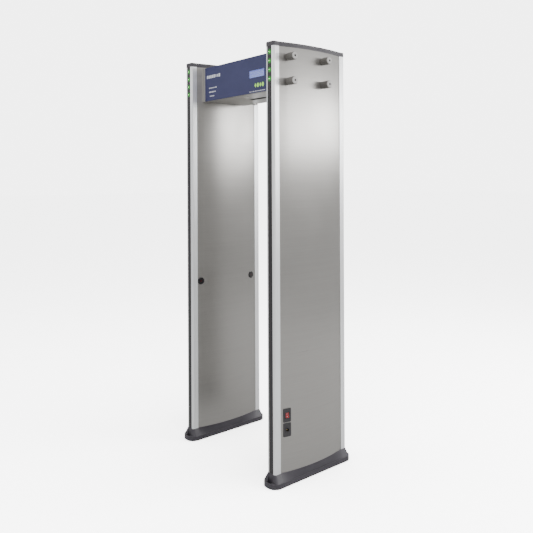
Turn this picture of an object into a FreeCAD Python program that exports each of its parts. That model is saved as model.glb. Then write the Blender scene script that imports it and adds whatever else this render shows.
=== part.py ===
import FreeCAD, Part
import math
import os
import Sketcher

# Walk-through detector gate: two lens-section panels on moulded feet, joined near the top by a
# control unit. Millimetres. X runs across the passage, the control face looks along -Y, Z is up,
# and the origin is on the floor midway between the panels.

SIZES = {
    "Overall": {
        "overall_height": 2250,
        "panel_spacing": 755,
        "panel_depth": 514,
    },
    "Edge profiles": {
        "edge_width": 62,
        "edge_corner": 12,
        "edge_band": 38,
        "edge_wall": 2.5,
        "channel_depth": 10,
        "web_wall": 3,
        "port_pitch": 36,
        "port_setback": 24,
        "port_radius": 2.6,
        "port_wall": 2,
    },
    "Skins": {
        "bulge": 23,
        "skin_sheet": 1.5,
        "skin_lap": 6,
        "skin_gap": 0.2,
    },
    "Feet": {
        "flange_height": 25,
        "flange_margin": 1,
        "flange_reach": 27,
        "flange_corner": 46,
        "skirt_height": 39,
        "skirt_reach": 8,
        "skirt_ledge": 2.5,
        "skirt_corner": 14,
        "skirt_lip": 0.5,
        "cavity_width": 76,
        "cavity_setback": 33,
        "cavity_depth": 18,
        "pocket_width": 34,
        "pocket_clear": 1.5,
        "pocket_wall": 7,
        "pocket_floor": 9,
        "bolt_reach": 10.5,
        "bolt_radius": 4.5,
        "bush_radius": 6.5,
        "bush_rim": 8.8,
        "bush_lip": 2,
        "bush_fit": 0.05,
        "foot_web": 24,
    },
    "Top caps": {
        "cap_height": 23,
        "cap_overhang": 1.5,
        "cap_band": 8,
        "cap_groove": 1.4,
        "cap_groove_depth": 1.4,
        "cap_chamfer": 2,
        "cap_cavity_width": 48,
        "cap_cavity_setback": 33,
        "cap_roof": 5,
    },
    "Screws": {
        "screw_radius": 2.5,
        "screw_head_radius": 4.6,
        "screw_head": 3,
        "screw_bite": 16,
        "screw_hole": 0.3,
        "head_clearance": 0.4,
        "drive_radius": 1.6,
        "drive_depth": 1.8,
    },
    "Light strips": {
        "strip_width": 32,
        "strip_fit": 0.2,
        "strip_depth": 8.5,
        "strip_rib_width": 12,
        "strip_rib": 0.8,
        "lamp_count": 4,
        "lamp_drop": 53,
        "lamp_pitch": 45.4,
        "lamp_radius": 5,
        "lamp_fit": 0.1,
        "lamp_stem": 5.5,
        "lamp_board_width": 20,
        "lamp_board_sheet": 1.6,
        "lamp_board_margin": 22,
        "lamp_board_room": 1,
        "lamp_board_back": 0.4,
    },
    "Coils": {
        "board_sheet": 14,
        "board_gap": 1,
        "coil_count": 5,
        "coil_width": 330,
        "coil_gap": 46,
        "coil_bar": 8,
        "coil_corner": 30,
        "coil_start": 40,
        "coil_top": 243,
    },
    "Clamps": {
        "stud_front_inset": 86,
        "stud_rear_inset": 194,
        "stud_head": 44,
        "stud_foot": 30,
        "stud_radius": 4,
        "stud_stop": 3,
        "stud_reach": 34,
        "thread_fit": 0.05,
        "tube_wall": 3,
        "tube_fit": 0.5,
        "skin_hole_fit": 0.5,
        "knob_length": 54,
        "knob_base_radius": 18.5,
        "knob_radius": 20,
        "knob_flare": 20,
        "knob_ribs": 14,
        "knob_rib_radius": 2,
        "knob_gap": 0.5,
        "knob_bore_spare": 1,
        "knob_chamfer": 1.5,
        "knob_cap_radius": 17.5,
        "knob_cap_seat": 4,
        "knob_cap_depth": 8,
        "knob_cap_fit": 0.05,
        "knob_hex": 6,
        "knob_hex_depth": 4,
    },
    "Beam sensors": {
        "sensor_height": 943,
        "sensor_front_inset": 59,
        "sensor_rear_inset": 77,
        "sensor_radius": 21,
        "sensor_rim": 4,
        "sensor_barrel": 9,
        "sensor_barrel_length": 17,
        "sensor_hole_fit": 1.2,
        "sensor_window": 7,
        "sensor_window_depth": 1.5,
    },
    "Control unit": {
        "unit_drop": 32,
        "unit_height": 198,
        "unit_front_inset": 77,
        "unit_rear_inset": 119,
        "cheek_inset": 8,
        "cheek_gap": 0.3,
        "cutter_spare": 1,
        "unit_sheet": 1.5,
        "face_sheet": 3,
        "face_side_gap": 0.3,
        "window_setback": 137.5,
        "window_z": 103,
        "window_width": 128,
        "window_height": 40,
        "window_sheet": 2,
        "window_fit": 0.2,
        "screen_border": 6,
        "module_depth": 9,
        "module_gap": 1,
        "key_count": 4,
        "key_setback": 115,
        "key_z": 39,
        "key_pitch": 21,
        "key_width": 15,
        "key_height": 23,
        "key_fit": 0.35,
        "key_proud": 1.6,
        "key_gap": 0.1,
        "key_travel": 1.2,
        "key_flange": 1.2,
        "key_flange_rim": 1,
        "key_spare": 0.5,
        "mat_margin": 8,
        "board_height": 130,
        "board_left": 130,
        "board_right": 106,
        "main_board_sheet": 1.6,
        "post_radius": 4,
        "post_inset": 12,
        "sounder_radius": 16,
        "sounder_depth": 12,
    },
    "Hatch": {
        "hatch_sheet": 1.5,
        "hatch_gap": 0.4,
        "hatch_side": 20,
        "hatch_front": 12,
        "hatch_rear": 16,
        "mouth_margin": 26,
        "slot_length": 154,
        "slot_width": 38,
        "slot_y": -21,
        "hinge_setback": 95,
        "hinge_back": 7,
        "hinge_drop": 5,
        "hinge_length": 30,
        "hinge_ear": 5,
        "hinge_side_gap": 0.5,
        "knuckle_radius": 3.5,
        "pin_radius": 1.5,
        "pin_press": 0.02,
        "pin_running": 0.05,
        "lock_setback": 68,
        "lock_radius": 8,
        "lock_running": 0.05,
        "lock_head_radius": 12,
        "lock_head": 2,
        "lock_key_width": 2,
        "lock_key_length": 8,
        "lock_head_gap": 0.1,
        "cam_length": 44,
        "cam_width": 12,
        "cam_sheet": 2,
        "cam_lift": 0.6,
    },
    "Power plates": {
        "plate_inset": 76,
        "switch_height": 352,
        "inlet_height": 278,
        "plate_rim": 4,
        "plate_sheet": 3,
        "plate_corner": 3,
        "plate_screw_margin": 6.3,
        "plate_screw_rise": 15.2,
        "rivet_radius": 1.5,
        "rivet_head_radius": 2.8,
        "rivet_head": 1.2,
        "rivet_length": 7,
        "rivet_hole": 0.15,
        "frame_rim": 1.8,
        "frame_wall": 1.2,
        "frame_lip": 1.5,
        "frame_depth": 20,
        "frame_floor": 2,
        "plate_fit": 0.15,
        "rocker_width": 20.2,
        "rocker_tall": 25.8,
        "rocker_rise": 4,
        "rocker_dip": 2,
        "rocker_back": 7,
        "rocker_taper": 0.6,
        "rocker_throw": 9,
        "rocker_pivot": -1,
        "rocker_side_gap": 0.4,
        "rocker_end_gap": 1.2,
        "trunnion_radius": 1.5,
        "trunnion_reach": 0.9,
        "socket_rim_radius": 13,
        "socket_rim": 2,
        "socket_radius": 11,
        "socket_bore": 9,
        "socket_depth": 18,
        "socket_floor": 3,
        "contact_radius": 1.6,
        "contact_length": 11,
        "cutout_margin": 2.5,
        "supply_width": 100,
        "supply_tall": 160,
        "supply_depth": 30,
        "supply_y": -50,
        "supply_height": 250,
        "supply_gap": 0.5,
    },
}

doc = FreeCAD.newDocument("detector_gate")
sheet = doc.addObject("Spreadsheet::Sheet", "Sizes")


class Size:
    """A number together with the sheet formula that it stands for."""

    def __init__(self, value, formula):
        self.value = value
        self.formula = formula

    @staticmethod
    def of(other):
        return other if isinstance(other, Size) else Size(other, f"({other})")

    def joined(self, sign, other, value):
        return Size(value, f"({self.formula} {sign} {other.formula})")

    def __add__(self, other):
        other = Size.of(other)
        return self.joined("+", other, self.value + other.value)

    def __sub__(self, other):
        other = Size.of(other)
        return self.joined("-", other, self.value - other.value)

    def __mul__(self, other):
        other = Size.of(other)
        return self.joined("*", other, self.value * other.value)

    def __truediv__(self, other):
        other = Size.of(other)
        return self.joined("/", other, self.value / other.value)

    def __neg__(self):
        return self * -1

    def __radd__(self, other):
        return Size.of(other) + self

    def __rsub__(self, other):
        return Size.of(other) - self

    def __rmul__(self, other):
        return Size.of(other) * self


def root(size):
    return Size(math.sqrt(size.value), f"sqrt({size.formula})")


class Named:
    """Holds every size of the sheet under its own name."""


n = Named()
row = 1
for group, entries in SIZES.items():
    sheet.set(f"A{row}", group)
    row += 1
    for name, number in entries.items():
        sheet.set(f"A{row}", name.replace("_", " "))
        sheet.set(f"B{row}", str(number))
        sheet.setAlias(f"B{row}", name)
        setattr(n, name, Size(number, f"Sizes.{name}"))
        row += 1
doc.recompute()

# ---------------------------------------------------------------- derived places

half_depth = n.panel_depth / 2
half_edge = n.edge_width / 2
chord = half_depth - n.edge_band
skin_foot = half_edge - n.edge_wall - n.skin_gap
skin_rise = n.bulge + n.edge_wall + n.skin_gap
lens_radius = (chord * chord + skin_rise * skin_rise) / (2 * skin_rise)
panel_bottom = n.flange_height + n.skirt_height
panel_top = n.overall_height - n.cap_height
panel_length = panel_top - panel_bottom
port_x = n.port_pitch / 2
port_y = half_depth - n.port_setback
foot_half = half_edge + n.bulge + n.flange_margin
bolt_y = half_depth + n.bolt_reach
cheek_face = half_edge + n.bulge + n.cheek_inset
unit_half = n.panel_spacing / 2 - cheek_face
unit_front = half_depth - n.unit_front_inset
unit_rear = half_depth - n.unit_rear_inset
unit_top = n.overall_height - n.unit_drop
unit_bottom = unit_top - n.unit_height
sensor_places = [n.sensor_front_inset - half_depth, half_depth - n.sensor_rear_inset]
plate_y = half_depth - n.plate_inset
opening_half = n.rocker_width / 2 + n.rocker_side_gap
opening_tall = n.rocker_tall / 2 + n.rocker_end_gap
frame_half = opening_half + n.frame_wall
frame_tall = opening_tall + n.frame_wall
rivet_y = frame_half + n.plate_screw_margin
rivet_z = frame_tall + n.plate_screw_rise
stud_front = half_depth - n.stud_front_inset
stud_rear = half_depth - n.stud_rear_inset
stud_heights = [unit_top - n.stud_head, unit_bottom + n.stud_foot]


def skin_face(y):
    """How far the outer face of a skin stands from its panel's middle plane, at depth y."""
    return skin_foot + skin_rise - lens_radius + root(lens_radius * lens_radius - y * y)


def knob_seat(y):
    """Where a knob's base clears the curved skin under it, at distance y from the middle."""
    return skin_face(y - n.knob_base_radius) + n.knob_gap


stud_rows = [(-stud_front, knob_seat(stud_front)), (stud_rear, knob_seat(stud_rear))]
sides = {"left": -1, "right": 1}
rivet_places = [(y, z) for y in (-rivet_y, rivet_y) for z in (-rivet_z, rivet_z)]


def panel_x(side):
    return n.panel_spacing * (sides[side] / 2)


# ---------------------------------------------------------------- shared building steps

def bind(thing, **sizes):
    for key, size in sizes.items():
        thing.setExpression(key, Size.of(size).formula)
    return thing


def place(thing, x=0, y=0, z=0):
    for axis, size in (("x", x), ("y", y), ("z", z)):
        thing.setExpression(f".Placement.Base.{axis}", Size.of(size).formula)
    return thing


def new_body(label, x=0, y=0, z=0):
    body = doc.addObject("PartDesign::Body", "Body")
    body.Label = label
    return place(body, x, y, z)


def new_sketch(body, role, offset=0):
    sketch = body.newObject("Sketcher::SketchObject", "Sketch")
    plane = next(item for item in body.Origin.OriginFeatures if item.Role == role)
    sketch.AttachmentSupport = [(plane, "")]
    sketch.MapMode = "FlatFace"
    sketch.setExpression(".AttachmentOffset.Base.z", Size.of(offset).formula)
    return sketch


def fix(sketch, kind, size, *ends):
    size = Size.of(size)
    number = sketch.addConstraint(Sketcher.Constraint(kind, *ends, float(size.value)))
    sketch.setExpression(f"Constraints[{number}]", size.formula)


def arc(start, end, radius, turn):
    """The short arc from start to end; turn is 1 for anticlockwise and -1 for clockwise."""
    middle = (start + end) / 2
    along = end - start
    reach = math.sqrt(max(radius * radius - along.Length ** 2 / 4, 0))
    left = FreeCAD.Vector(-along.y, along.x, 0).normalize()
    centre = middle + left * (reach * turn)
    first, last = (start, end) if turn > 0 else (end, start)
    angles = [math.atan2(point.y - centre.y, point.x - centre.x) for point in (first, last)]
    if angles[1] < angles[0]:
        angles[1] += 2 * math.pi
    circle = Part.Circle(centre, FreeCAD.Vector(0, 0, 1), radius)
    return Part.ArcOfCircle(circle, angles[0], angles[1])


def outline(sketch, corners, flip=False):
    """Closed outline. A corner is (x, y), or (x, y, radius, turn) where an arc leaves it."""
    first = sketch.GeometryCount
    points = [FreeCAD.Vector(Size.of(c[0]).value, Size.of(c[1]).value, 0) for c in corners]
    count = len(corners)
    ends = []
    for index, corner in enumerate(corners):
        start, end = points[index], points[(index + 1) % count]
        if len(corner) == 2:
            sketch.addGeometry(Part.LineSegment(start, end))
            ends.append((1, 2))
            continue
        turn = -corner[3] if flip else corner[3]
        sketch.addGeometry(arc(start, end, Size.of(corner[2]).value, turn))
        ends.append((1, 2) if turn > 0 else (2, 1))
    for index, corner in enumerate(corners):
        line, after = first + index, first + (index + 1) % count
        sketch.addConstraint(Sketcher.Constraint("Coincident", line, ends[index][1],
                                                 after, ends[(index + 1) % count][0]))
        fix(sketch, "DistanceX", corner[0], -1, 1, line, ends[index][0])
        fix(sketch, "DistanceY", corner[1], -1, 1, line, ends[index][0])
        if len(corner) > 2:
            fix(sketch, "Radius", corner[2], line)


def circle(sketch, x, y, radius):
    x, y = Size.of(x), Size.of(y)
    centre = FreeCAD.Vector(x.value, y.value, 0)
    index = sketch.addGeometry(Part.Circle(centre, FreeCAD.Vector(0, 0, 1), Size.of(radius).value))
    fix(sketch, "DistanceX", x, -1, 1, index, 3)
    fix(sketch, "DistanceY", y, -1, 1, index, 3)
    fix(sketch, "Radius", radius, index)


def rectangle(sketch, x0, x1, y0, y1):
    outline(sketch, [(x0, y0), (x1, y0), (x1, y1), (x0, y1)])


def rounded(x0, x1, y0, y1, radius):
    """Corners of a rectangle with round corners, anticlockwise."""
    return [(x0 + radius, y0), (x1 - radius, y0, radius, 1), (x1, y0 + radius),
            (x1, y1 - radius, radius, 1), (x1 - radius, y1), (x0 + radius, y1, radius, 1),
            (x0, y1 - radius), (x0, y0 + radius, radius, 1)]


def pad(body, sketch, length, backwards=False):
    feature = body.newObject("PartDesign::Pad", "Pad")
    feature.Profile = sketch
    feature.Reversed = backwards
    bind(feature, Length=length)
    return feature


def pocket(body, sketch, length=None, backwards=False):
    """Cuts along the sketch's normal reversed, or along the normal when backwards is set."""
    feature = body.newObject("PartDesign::Pocket", "Pocket")
    feature.Profile = sketch
    feature.Reversed = backwards
    if length is None:
        feature.Type = "ThroughAll"
    else:
        bind(feature, Length=length)
    return feature


def turned(label, corners):
    """A body turned about its own X axis; corners are (x, radius) points of half its section."""
    body = new_body(label)
    sketch = new_sketch(body, "XY_Plane")
    outline(sketch, corners)
    feature = body.newObject("PartDesign::Revolution", "Revolution")
    feature.Profile = sketch
    feature.ReferenceAxis = (sketch, ["H_Axis"])
    return body


def box(label, x0, x1, y0, y1, z0, z1):
    block = doc.addObject("Part::Box", "Box")
    block.Label = label
    bind(block, Length=Size.of(x1) - x0, Width=Size.of(y1) - y0, Height=Size.of(z1) - z0)
    return place(block, x0, y0, z0)


def on_skin(thing, side, facing, y, z):
    """Sets a thing made along +X on a panel's skin, square to it, at depth y and height z."""
    angle = f"asin({Size.of(y).formula} / {lens_radius.formula})"
    thing.Placement.Rotation = FreeCAD.Rotation(FreeCAD.Vector(0, 0, 1), 1)
    thing.setExpression(".Placement.Rotation.Angle", angle if facing > 0 else f"180 deg - {angle}")
    return place(thing, panel_x(side) + skin_face(y) * facing, y, z)


def along(direction):
    """The turn that carries +X onto a unit direction."""
    return FreeCAD.Rotation(FreeCAD.Vector(1, 0, 0), FreeCAD.Vector(*direction))


def copy(source, direction=(1, 0, 0), x=0, y=0, z=0):
    link = doc.addObject("App::Link", "Copy")
    link.LinkedObject = source
    link.Placement.Rotation = along(direction)
    return place(link, x, y, z)


def together(label, links):
    """One node of separate solids."""
    group = doc.addObject("Part::Compound", "Group")
    group.Label = label
    group.Links = links
    return group


UP = (0, 0, 1)
DOWN = (0, 0, -1)
FRONT = (0, -1, 0)

nodes = []


def keep(thing):
    nodes.append(thing)
    return thing


# ---------------------------------------------------------------- panel frame

def lens_corners(lip):
    """The panel's plan outline, moved outwards by lip."""
    wide, deep, corner = half_edge + lip, half_depth + lip, n.edge_corner + lip
    rise = n.bulge
    bend = (chord * chord + rise * rise) / (2 * rise)
    return [(-(wide - corner), -deep), (wide - corner, -deep, corner, 1), (wide, -(deep - corner)),
            (wide, -chord, bend, 1), (wide, chord), (wide, deep - corner, corner, 1),
            (wide - corner, deep), (-(wide - corner), deep, corner, 1), (-wide, deep - corner),
            (-wide, chord, bend, 1), (-wide, -chord), (-wide, -(deep - corner), corner, 1)]


def edge_profile(label, side, end):
    """Aluminium extrusion: a channel for the light strip, two side walls and two screw ports."""
    body = new_body(label, x=panel_x(side), z=panel_bottom)
    sketch = new_sketch(body, "XY_Plane")
    lip = n.strip_width / 2 + n.strip_fit
    inside = half_edge - n.edge_wall
    web = n.channel_depth + n.web_wall
    boss = n.port_radius + n.port_wall

    def at(x, inwards, *bend):
        return (x, (half_depth - inwards) * end, *bend)

    outline(sketch, [
        at(lip, 0), at(half_edge - n.edge_corner, 0, n.edge_corner, 1), at(half_edge, n.edge_corner),
        at(half_edge, n.edge_band), at(inside, n.edge_band), at(inside, web),
        at(port_x + boss, web), at(port_x + boss, n.port_setback, boss, 1),
        at(port_x, n.port_setback + boss, boss, 1), at(port_x - boss, n.port_setback),
        at(port_x - boss, web), at(boss - port_x, web),
        at(boss - port_x, n.port_setback, boss, 1), at(-port_x, n.port_setback + boss, boss, 1),
        at(-port_x - boss, n.port_setback), at(-port_x - boss, web),
        at(-inside, web), at(-inside, n.edge_band), at(-half_edge, n.edge_band),
        at(-half_edge, n.edge_corner, n.edge_corner, 1), at(n.edge_corner - half_edge, 0),
        at(-lip, 0), at(-lip, n.channel_depth), at(lip, n.channel_depth)], flip=end > 0)
    for x in (port_x, -port_x):
        circle(sketch, x, (half_depth - n.port_setback) * end, n.port_radius)
    pad(body, sketch, panel_length)
    return body


def skin(label, side, facing):
    """Curved steel sheet whose straight laps sit inside the edge profiles' walls."""
    body = new_body(label, x=panel_x(side), z=panel_bottom)
    sketch = new_sketch(body, "XY_Plane")
    back = skin_foot - n.skin_sheet
    lap = chord + n.skin_lap
    outline(sketch, [
        (skin_foot * facing, -lap), (skin_foot * facing, -chord, lens_radius, 1),
        (skin_foot * facing, chord), (skin_foot * facing, lap),
        (back * facing, lap), (back * facing, chord, lens_radius, -1),
        (back * facing, -chord), (back * facing, -lap)], flip=facing < 0)
    pad(body, sketch, panel_length)
    holes = new_sketch(body, "YZ_Plane")
    for y, _ in stud_rows:
        for height in stud_heights:
            circle(holes, y, height - panel_bottom, n.stud_radius + n.skin_hole_fit)
    pocket(body, holes, backwards=facing > 0)
    return body


def sensor_holes(body, facing):
    sketch = new_sketch(body, "YZ_Plane")
    for y in sensor_places:
        circle(sketch, y, n.sensor_height - panel_bottom, n.sensor_barrel + n.sensor_hole_fit)
    pocket(body, sketch, backwards=facing > 0)


def power_holes(body):
    sketch = new_sketch(body, "YZ_Plane")
    wide = frame_half + n.cutout_margin
    tall = frame_tall + n.cutout_margin
    middle = n.switch_height - panel_bottom
    rectangle(sketch, -plate_y - wide, wide - plate_y, middle - tall, middle + tall)
    circle(sketch, -plate_y, n.inlet_height - panel_bottom, n.socket_radius + n.cutout_margin)
    hole = n.rivet_radius + n.skin_hole_fit
    for height in (n.switch_height, n.inlet_height):
        for y, z in rivet_places:
            circle(sketch, y - plate_y, height + z - panel_bottom, hole)
    pocket(body, sketch, backwards=True)


for side in sides:
    for end, word in ((-1, "front"), (1, "rear")):
        keep(edge_profile(f"{side}_{word}_profile", side, end))
    inward = -sides[side]
    inner_skin = keep(skin(f"{side}_inner_skin", side, inward))
    outer_skin = keep(skin(f"{side}_outer_skin", side, -inward))
    sensor_holes(inner_skin, inward)
    if side == "right":
        power_holes(outer_skin)


# ---------------------------------------------------------------- feet

def foot(label, side):
    """Moulded foot: stadium flange, flared skirt, a bolt pocket at each end and screw holes."""
    body = new_body(label, x=panel_x(side))
    base = new_sketch(body, "XY_Plane")
    deep = half_depth + n.flange_reach
    outline(base, rounded(-foot_half, foot_half, -deep, deep, n.flange_corner))
    pad(body, base, n.flange_height)
    low = new_sketch(body, "XY_Plane", n.flange_height)
    skirt_wide = foot_half - n.skirt_ledge
    skirt_deep = half_depth + n.skirt_reach
    round_ = n.skirt_corner
    outline(low, [
        (round_ - skirt_wide, -skirt_deep), (skirt_wide - round_, -skirt_deep, round_, 1),
        (skirt_wide, round_ - skirt_deep), (skirt_wide, -chord), (skirt_wide, chord),
        (skirt_wide, skirt_deep - round_, round_, 1), (skirt_wide - round_, skirt_deep),
        (round_ - skirt_wide, skirt_deep, round_, 1), (-skirt_wide, skirt_deep - round_),
        (-skirt_wide, chord), (-skirt_wide, -chord), (-skirt_wide, round_ - skirt_deep, round_, 1)])
    high = new_sketch(body, "XY_Plane", panel_bottom)
    outline(high, lens_corners(n.skirt_lip))
    skirt = body.newObject("PartDesign::AdditiveLoft", "Skirt")
    skirt.Profile = low
    skirt.Sections = [high]
    skirt.Ruled = True
    doc.recompute()
    pockets = new_sketch(body, "XY_Plane", panel_bottom)
    for end in (-1, 1):
        inner = (half_depth + n.pocket_clear) * end
        outer = (half_depth + n.flange_reach - n.pocket_wall) * end
        rectangle(pockets, -n.pocket_width / 2, n.pocket_width / 2, inner, outer)
    pocket(body, pockets, panel_bottom - n.pocket_floor)
    cavity = new_sketch(body, "XY_Plane")
    wide, deep = n.cavity_width / 2, port_y - n.cavity_setback
    rectangle(cavity, -wide, wide, -deep, deep)
    pocket(body, cavity, n.cavity_depth, backwards=True)
    bores = new_sketch(body, "XY_Plane")
    for end in (-1, 1):
        circle(bores, 0, bolt_y * end, n.bush_radius + n.bush_fit)
    pocket(body, bores, n.pocket_floor, backwards=True)
    holes = new_sketch(body, "XY_Plane")
    sinks = new_sketch(body, "XY_Plane")
    for x in (-port_x, port_x):
        for end in (-1, 1):
            circle(holes, x, port_y * end, n.screw_radius + n.screw_hole)
            circle(sinks, x, port_y * end, n.screw_head_radius + n.head_clearance)
    pocket(body, holes, backwards=True)
    pocket(body, sinks, panel_bottom - n.foot_web, backwards=True)
    return body


for side in sides:
    keep(foot(f"{side}_foot", side))

bush = turned("bush_source", [
    (0, n.bolt_radius), (n.pocket_floor + n.bush_lip, n.bolt_radius),
    (n.pocket_floor + n.bush_lip, n.bush_rim), (n.pocket_floor, n.bush_rim),
    (n.pocket_floor, n.bush_radius), (0, n.bush_radius)])


keep(together("floor_bushes", [copy(bush, UP, panel_x(side), bolt_y * end)
                               for side in sides for end in (-1, 1)]))


def screw(label, shank):
    """Socket screw with the underside of its head at X = 0 and its shank along +X."""
    return turned(label, [
        (n.drive_depth - n.screw_head, 0), (n.drive_depth - n.screw_head, n.drive_radius),
        (-n.screw_head, n.drive_radius), (-n.screw_head, n.screw_head_radius),
        (0, n.screw_head_radius), (0, n.screw_radius), (shank, n.screw_radius), (shank, 0)])


port_places = [(panel_x(side) + port_x * across, port_y * end)
               for side in sides for across in (-1, 1) for end in (-1, 1)]
foot_screw = screw("foot_screw_source", n.foot_web + n.screw_bite)
keep(together("foot_screws", [copy(foot_screw, UP, x, y, panel_bottom - n.foot_web)
                              for x, y in port_places]))

# ---------------------------------------------------------------- top caps


def top_edges(shape, height):
    edges = enumerate(shape.Edges, 1)
    return [f"Edge{index}" for index, edge in edges
            if all(abs(vertex.Z - height) < 1e-6 for vertex in edge.Vertexes)]


def top_cap(label, side):
    """Moulded cap with a groove round its side, a chamfered rim and two screws at each end."""
    body = new_body(label, x=panel_x(side), z=panel_top)
    groove_top = n.cap_band + n.cap_groove
    layers = [(0, n.cap_band, n.cap_overhang),
              (n.cap_band, n.cap_groove, n.cap_overhang - n.cap_groove_depth),
              (groove_top, n.cap_height - groove_top, n.cap_overhang)]
    for start, thickness, lip in layers:
        sketch = new_sketch(body, "XY_Plane", start)
        outline(sketch, lens_corners(lip))
        top = pad(body, sketch, thickness)
    doc.recompute()
    rim = body.newObject("PartDesign::Chamfer", "Rim")
    rim.Base = (top, top_edges(top.Shape, n.cap_height.value))
    bind(rim, Size=n.cap_chamfer)
    cavity = new_sketch(body, "XY_Plane")
    wide, deep = n.cap_cavity_width / 2, port_y - n.cap_cavity_setback
    rectangle(cavity, -wide, wide, -deep, deep)
    pocket(body, cavity, n.cap_height - n.cap_roof, backwards=True)
    holes = new_sketch(body, "XY_Plane")
    sinks = new_sketch(body, "XY_Plane", n.cap_height)
    for across in (-1, 1):
        for end in (-1, 1):
            circle(holes, port_x * across, port_y * end, n.screw_radius + n.screw_hole)
            circle(sinks, port_x * across, port_y * end, n.screw_head_radius + n.head_clearance)
    pocket(body, holes, backwards=True)
    pocket(body, sinks, n.screw_head)
    return body


for side in sides:
    keep(top_cap(f"{side}_top_cap", side))

cap_screw = screw("cap_screw_source", n.cap_height - n.screw_head + n.screw_bite)
keep(together("cap_screws", [copy(cap_screw, DOWN, x, y, n.overall_height - n.screw_head)
                             for x, y in port_places]))

# ---------------------------------------------------------------- light strips

channel_floor = half_depth - n.channel_depth
lamp_heights = [n.overall_height - n.lamp_drop - n.lamp_pitch * index
                for index in range(SIZES["Light strips"]["lamp_count"])]
board_low = lamp_heights[-1] - n.lamp_board_margin
board_high = lamp_heights[0] + n.lamp_board_margin
lamp_seat = channel_floor + n.lamp_board_back + n.lamp_board_sheet


def light_strip(label, side, end):
    """Black strip in an edge channel; the front ones have a hole for each lamp."""
    body = new_body(label, x=panel_x(side), z=panel_bottom)
    sketch = new_sketch(body, "XY_Plane")
    wide, rib = n.strip_width / 2, n.strip_rib_width / 2
    face = channel_floor + n.strip_depth
    crest = face + n.strip_rib
    outline(sketch, [(x, y * end) for x, y in (
        (-wide, channel_floor), (wide, channel_floor), (wide, face), (rib, face), (rib, crest),
        (-rib, crest), (-rib, face), (-wide, face))])
    pad(body, sketch, panel_length)
    if end > 0:
        return body
    holes = new_sketch(body, "XZ_Plane")
    for height in lamp_heights:
        circle(holes, 0, height - panel_bottom, n.lamp_radius + n.lamp_fit)
    pocket(body, holes, backwards=True)
    recess = new_sketch(body, "XZ_Plane", channel_floor)
    room = n.lamp_board_room
    wide = n.lamp_board_width / 2 + room
    rectangle(recess, -wide, wide, board_low - room - panel_bottom, board_high + room - panel_bottom)
    pocket(body, recess, lamp_seat - channel_floor + room, backwards=True)
    return body


lamp = turned("lamp_source", [
    (0, 0), (n.lamp_stem + n.lamp_radius, 0, n.lamp_radius, 1), (n.lamp_stem, n.lamp_radius),
    (0, n.lamp_radius)])

for side in sides:
    for end, word in ((-1, "front"), (1, "rear")):
        keep(light_strip(f"{side}_{word}_strip", side, end))
    middle, wide = panel_x(side), n.lamp_board_width / 2
    keep(box(f"{side}_lamp_board", middle - wide, middle + wide, -lamp_seat,
             n.lamp_board_sheet - lamp_seat, board_low, board_high))
    keep(together(f"{side}_lamps", [copy(lamp, FRONT, middle, -lamp_seat, height)
                                    for height in lamp_heights]))

# ---------------------------------------------------------------- coils

tube_radius = n.stud_radius + n.tube_fit + n.tube_wall


def coil_board(label, side):
    """Stiff board between the edge profiles that carries the coils."""
    body = new_body(label, x=panel_x(side), z=panel_bottom)
    sketch = new_sketch(body, "YZ_Plane", -n.board_sheet / 2)
    edge = channel_floor - n.web_wall - n.board_gap
    rectangle(sketch, -edge, edge, n.board_gap, panel_length - n.board_gap)
    pad(body, sketch, n.board_sheet)
    holes = new_sketch(body, "YZ_Plane", -n.board_sheet / 2)
    for y, _ in stud_rows:
        for height in stud_heights:
            circle(holes, y, height - panel_bottom, tube_radius + n.tube_fit)
    pocket(body, holes, backwards=True)
    return body


def coils(label, side, facing):
    """Flat wound loops, one above the other, on the passage side of the board."""
    body = new_body(label, x=panel_x(side), z=panel_bottom)
    back = n.board_sheet / 2
    sketch = new_sketch(body, "YZ_Plane", back if facing > 0 else -back - n.coil_bar)
    pitch = (panel_length - n.coil_start - n.coil_top) / n.coil_count
    for index in range(SIZES["Coils"]["coil_count"]):
        low = n.coil_start + pitch * index
        high = low + pitch - n.coil_gap
        for inset in (0, n.coil_bar):
            wide = n.coil_width / 2 - inset
            outline(sketch, rounded(-wide, wide, low + inset, high - inset, n.coil_corner - inset))
    pad(body, sketch, n.coil_bar)
    return body


for side, name in (("left", "transmit_coils"), ("right", "receive_coils")):
    keep(coil_board(f"{side}_coil_board", side))
    keep(coils(name, side, -sides[side]))

# ---------------------------------------------------------------- clamps of the control unit


def abs_size(y):
    return y if y.value >= 0 else -y


def stud_tube(label, y):
    """Spacer that stops a clamp from crushing the panel."""
    half = skin_face(abs_size(y) + tube_radius) - n.skin_sheet - n.tube_fit
    bore = n.stud_radius + n.tube_fit
    return turned(label, [(-half, bore), (half, bore), (half, tube_radius), (-half, tube_radius)])


def hexagon(sketch, radius):
    angles = [math.radians(degrees) for degrees in range(0, 360, 60)]
    outline(sketch, [(radius * math.cos(angle), radius * math.sin(angle)) for angle in angles])


def knob(label):
    """Ribbed hand nut that widens away from the panel."""
    seat = n.knob_length - n.knob_cap_seat
    cap_bore = n.knob_cap_radius + n.knob_cap_fit
    thread = n.stud_radius + n.thread_fit
    thread_end = n.stud_reach + n.knob_bore_spare
    body = turned(label, [
        (0, thread), (thread_end, thread), (thread_end, 0), (seat, 0), (seat, cap_bore),
        (n.knob_length, cap_bore),
        (n.knob_length, n.knob_radius - n.knob_chamfer),
        (n.knob_length - n.knob_chamfer, n.knob_radius), (n.knob_flare, n.knob_radius),
        (0, n.knob_base_radius)])
    ribs = new_sketch(body, "YZ_Plane")
    reach = n.knob_radius + n.knob_rib_radius / 2
    count = SIZES["Clamps"]["knob_ribs"]
    for index in range(count):
        angle = 2 * math.pi * index / count
        circle(ribs, reach * math.cos(angle), reach * math.sin(angle), n.knob_rib_radius)
    pocket(body, ribs, backwards=True)
    return body


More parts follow.
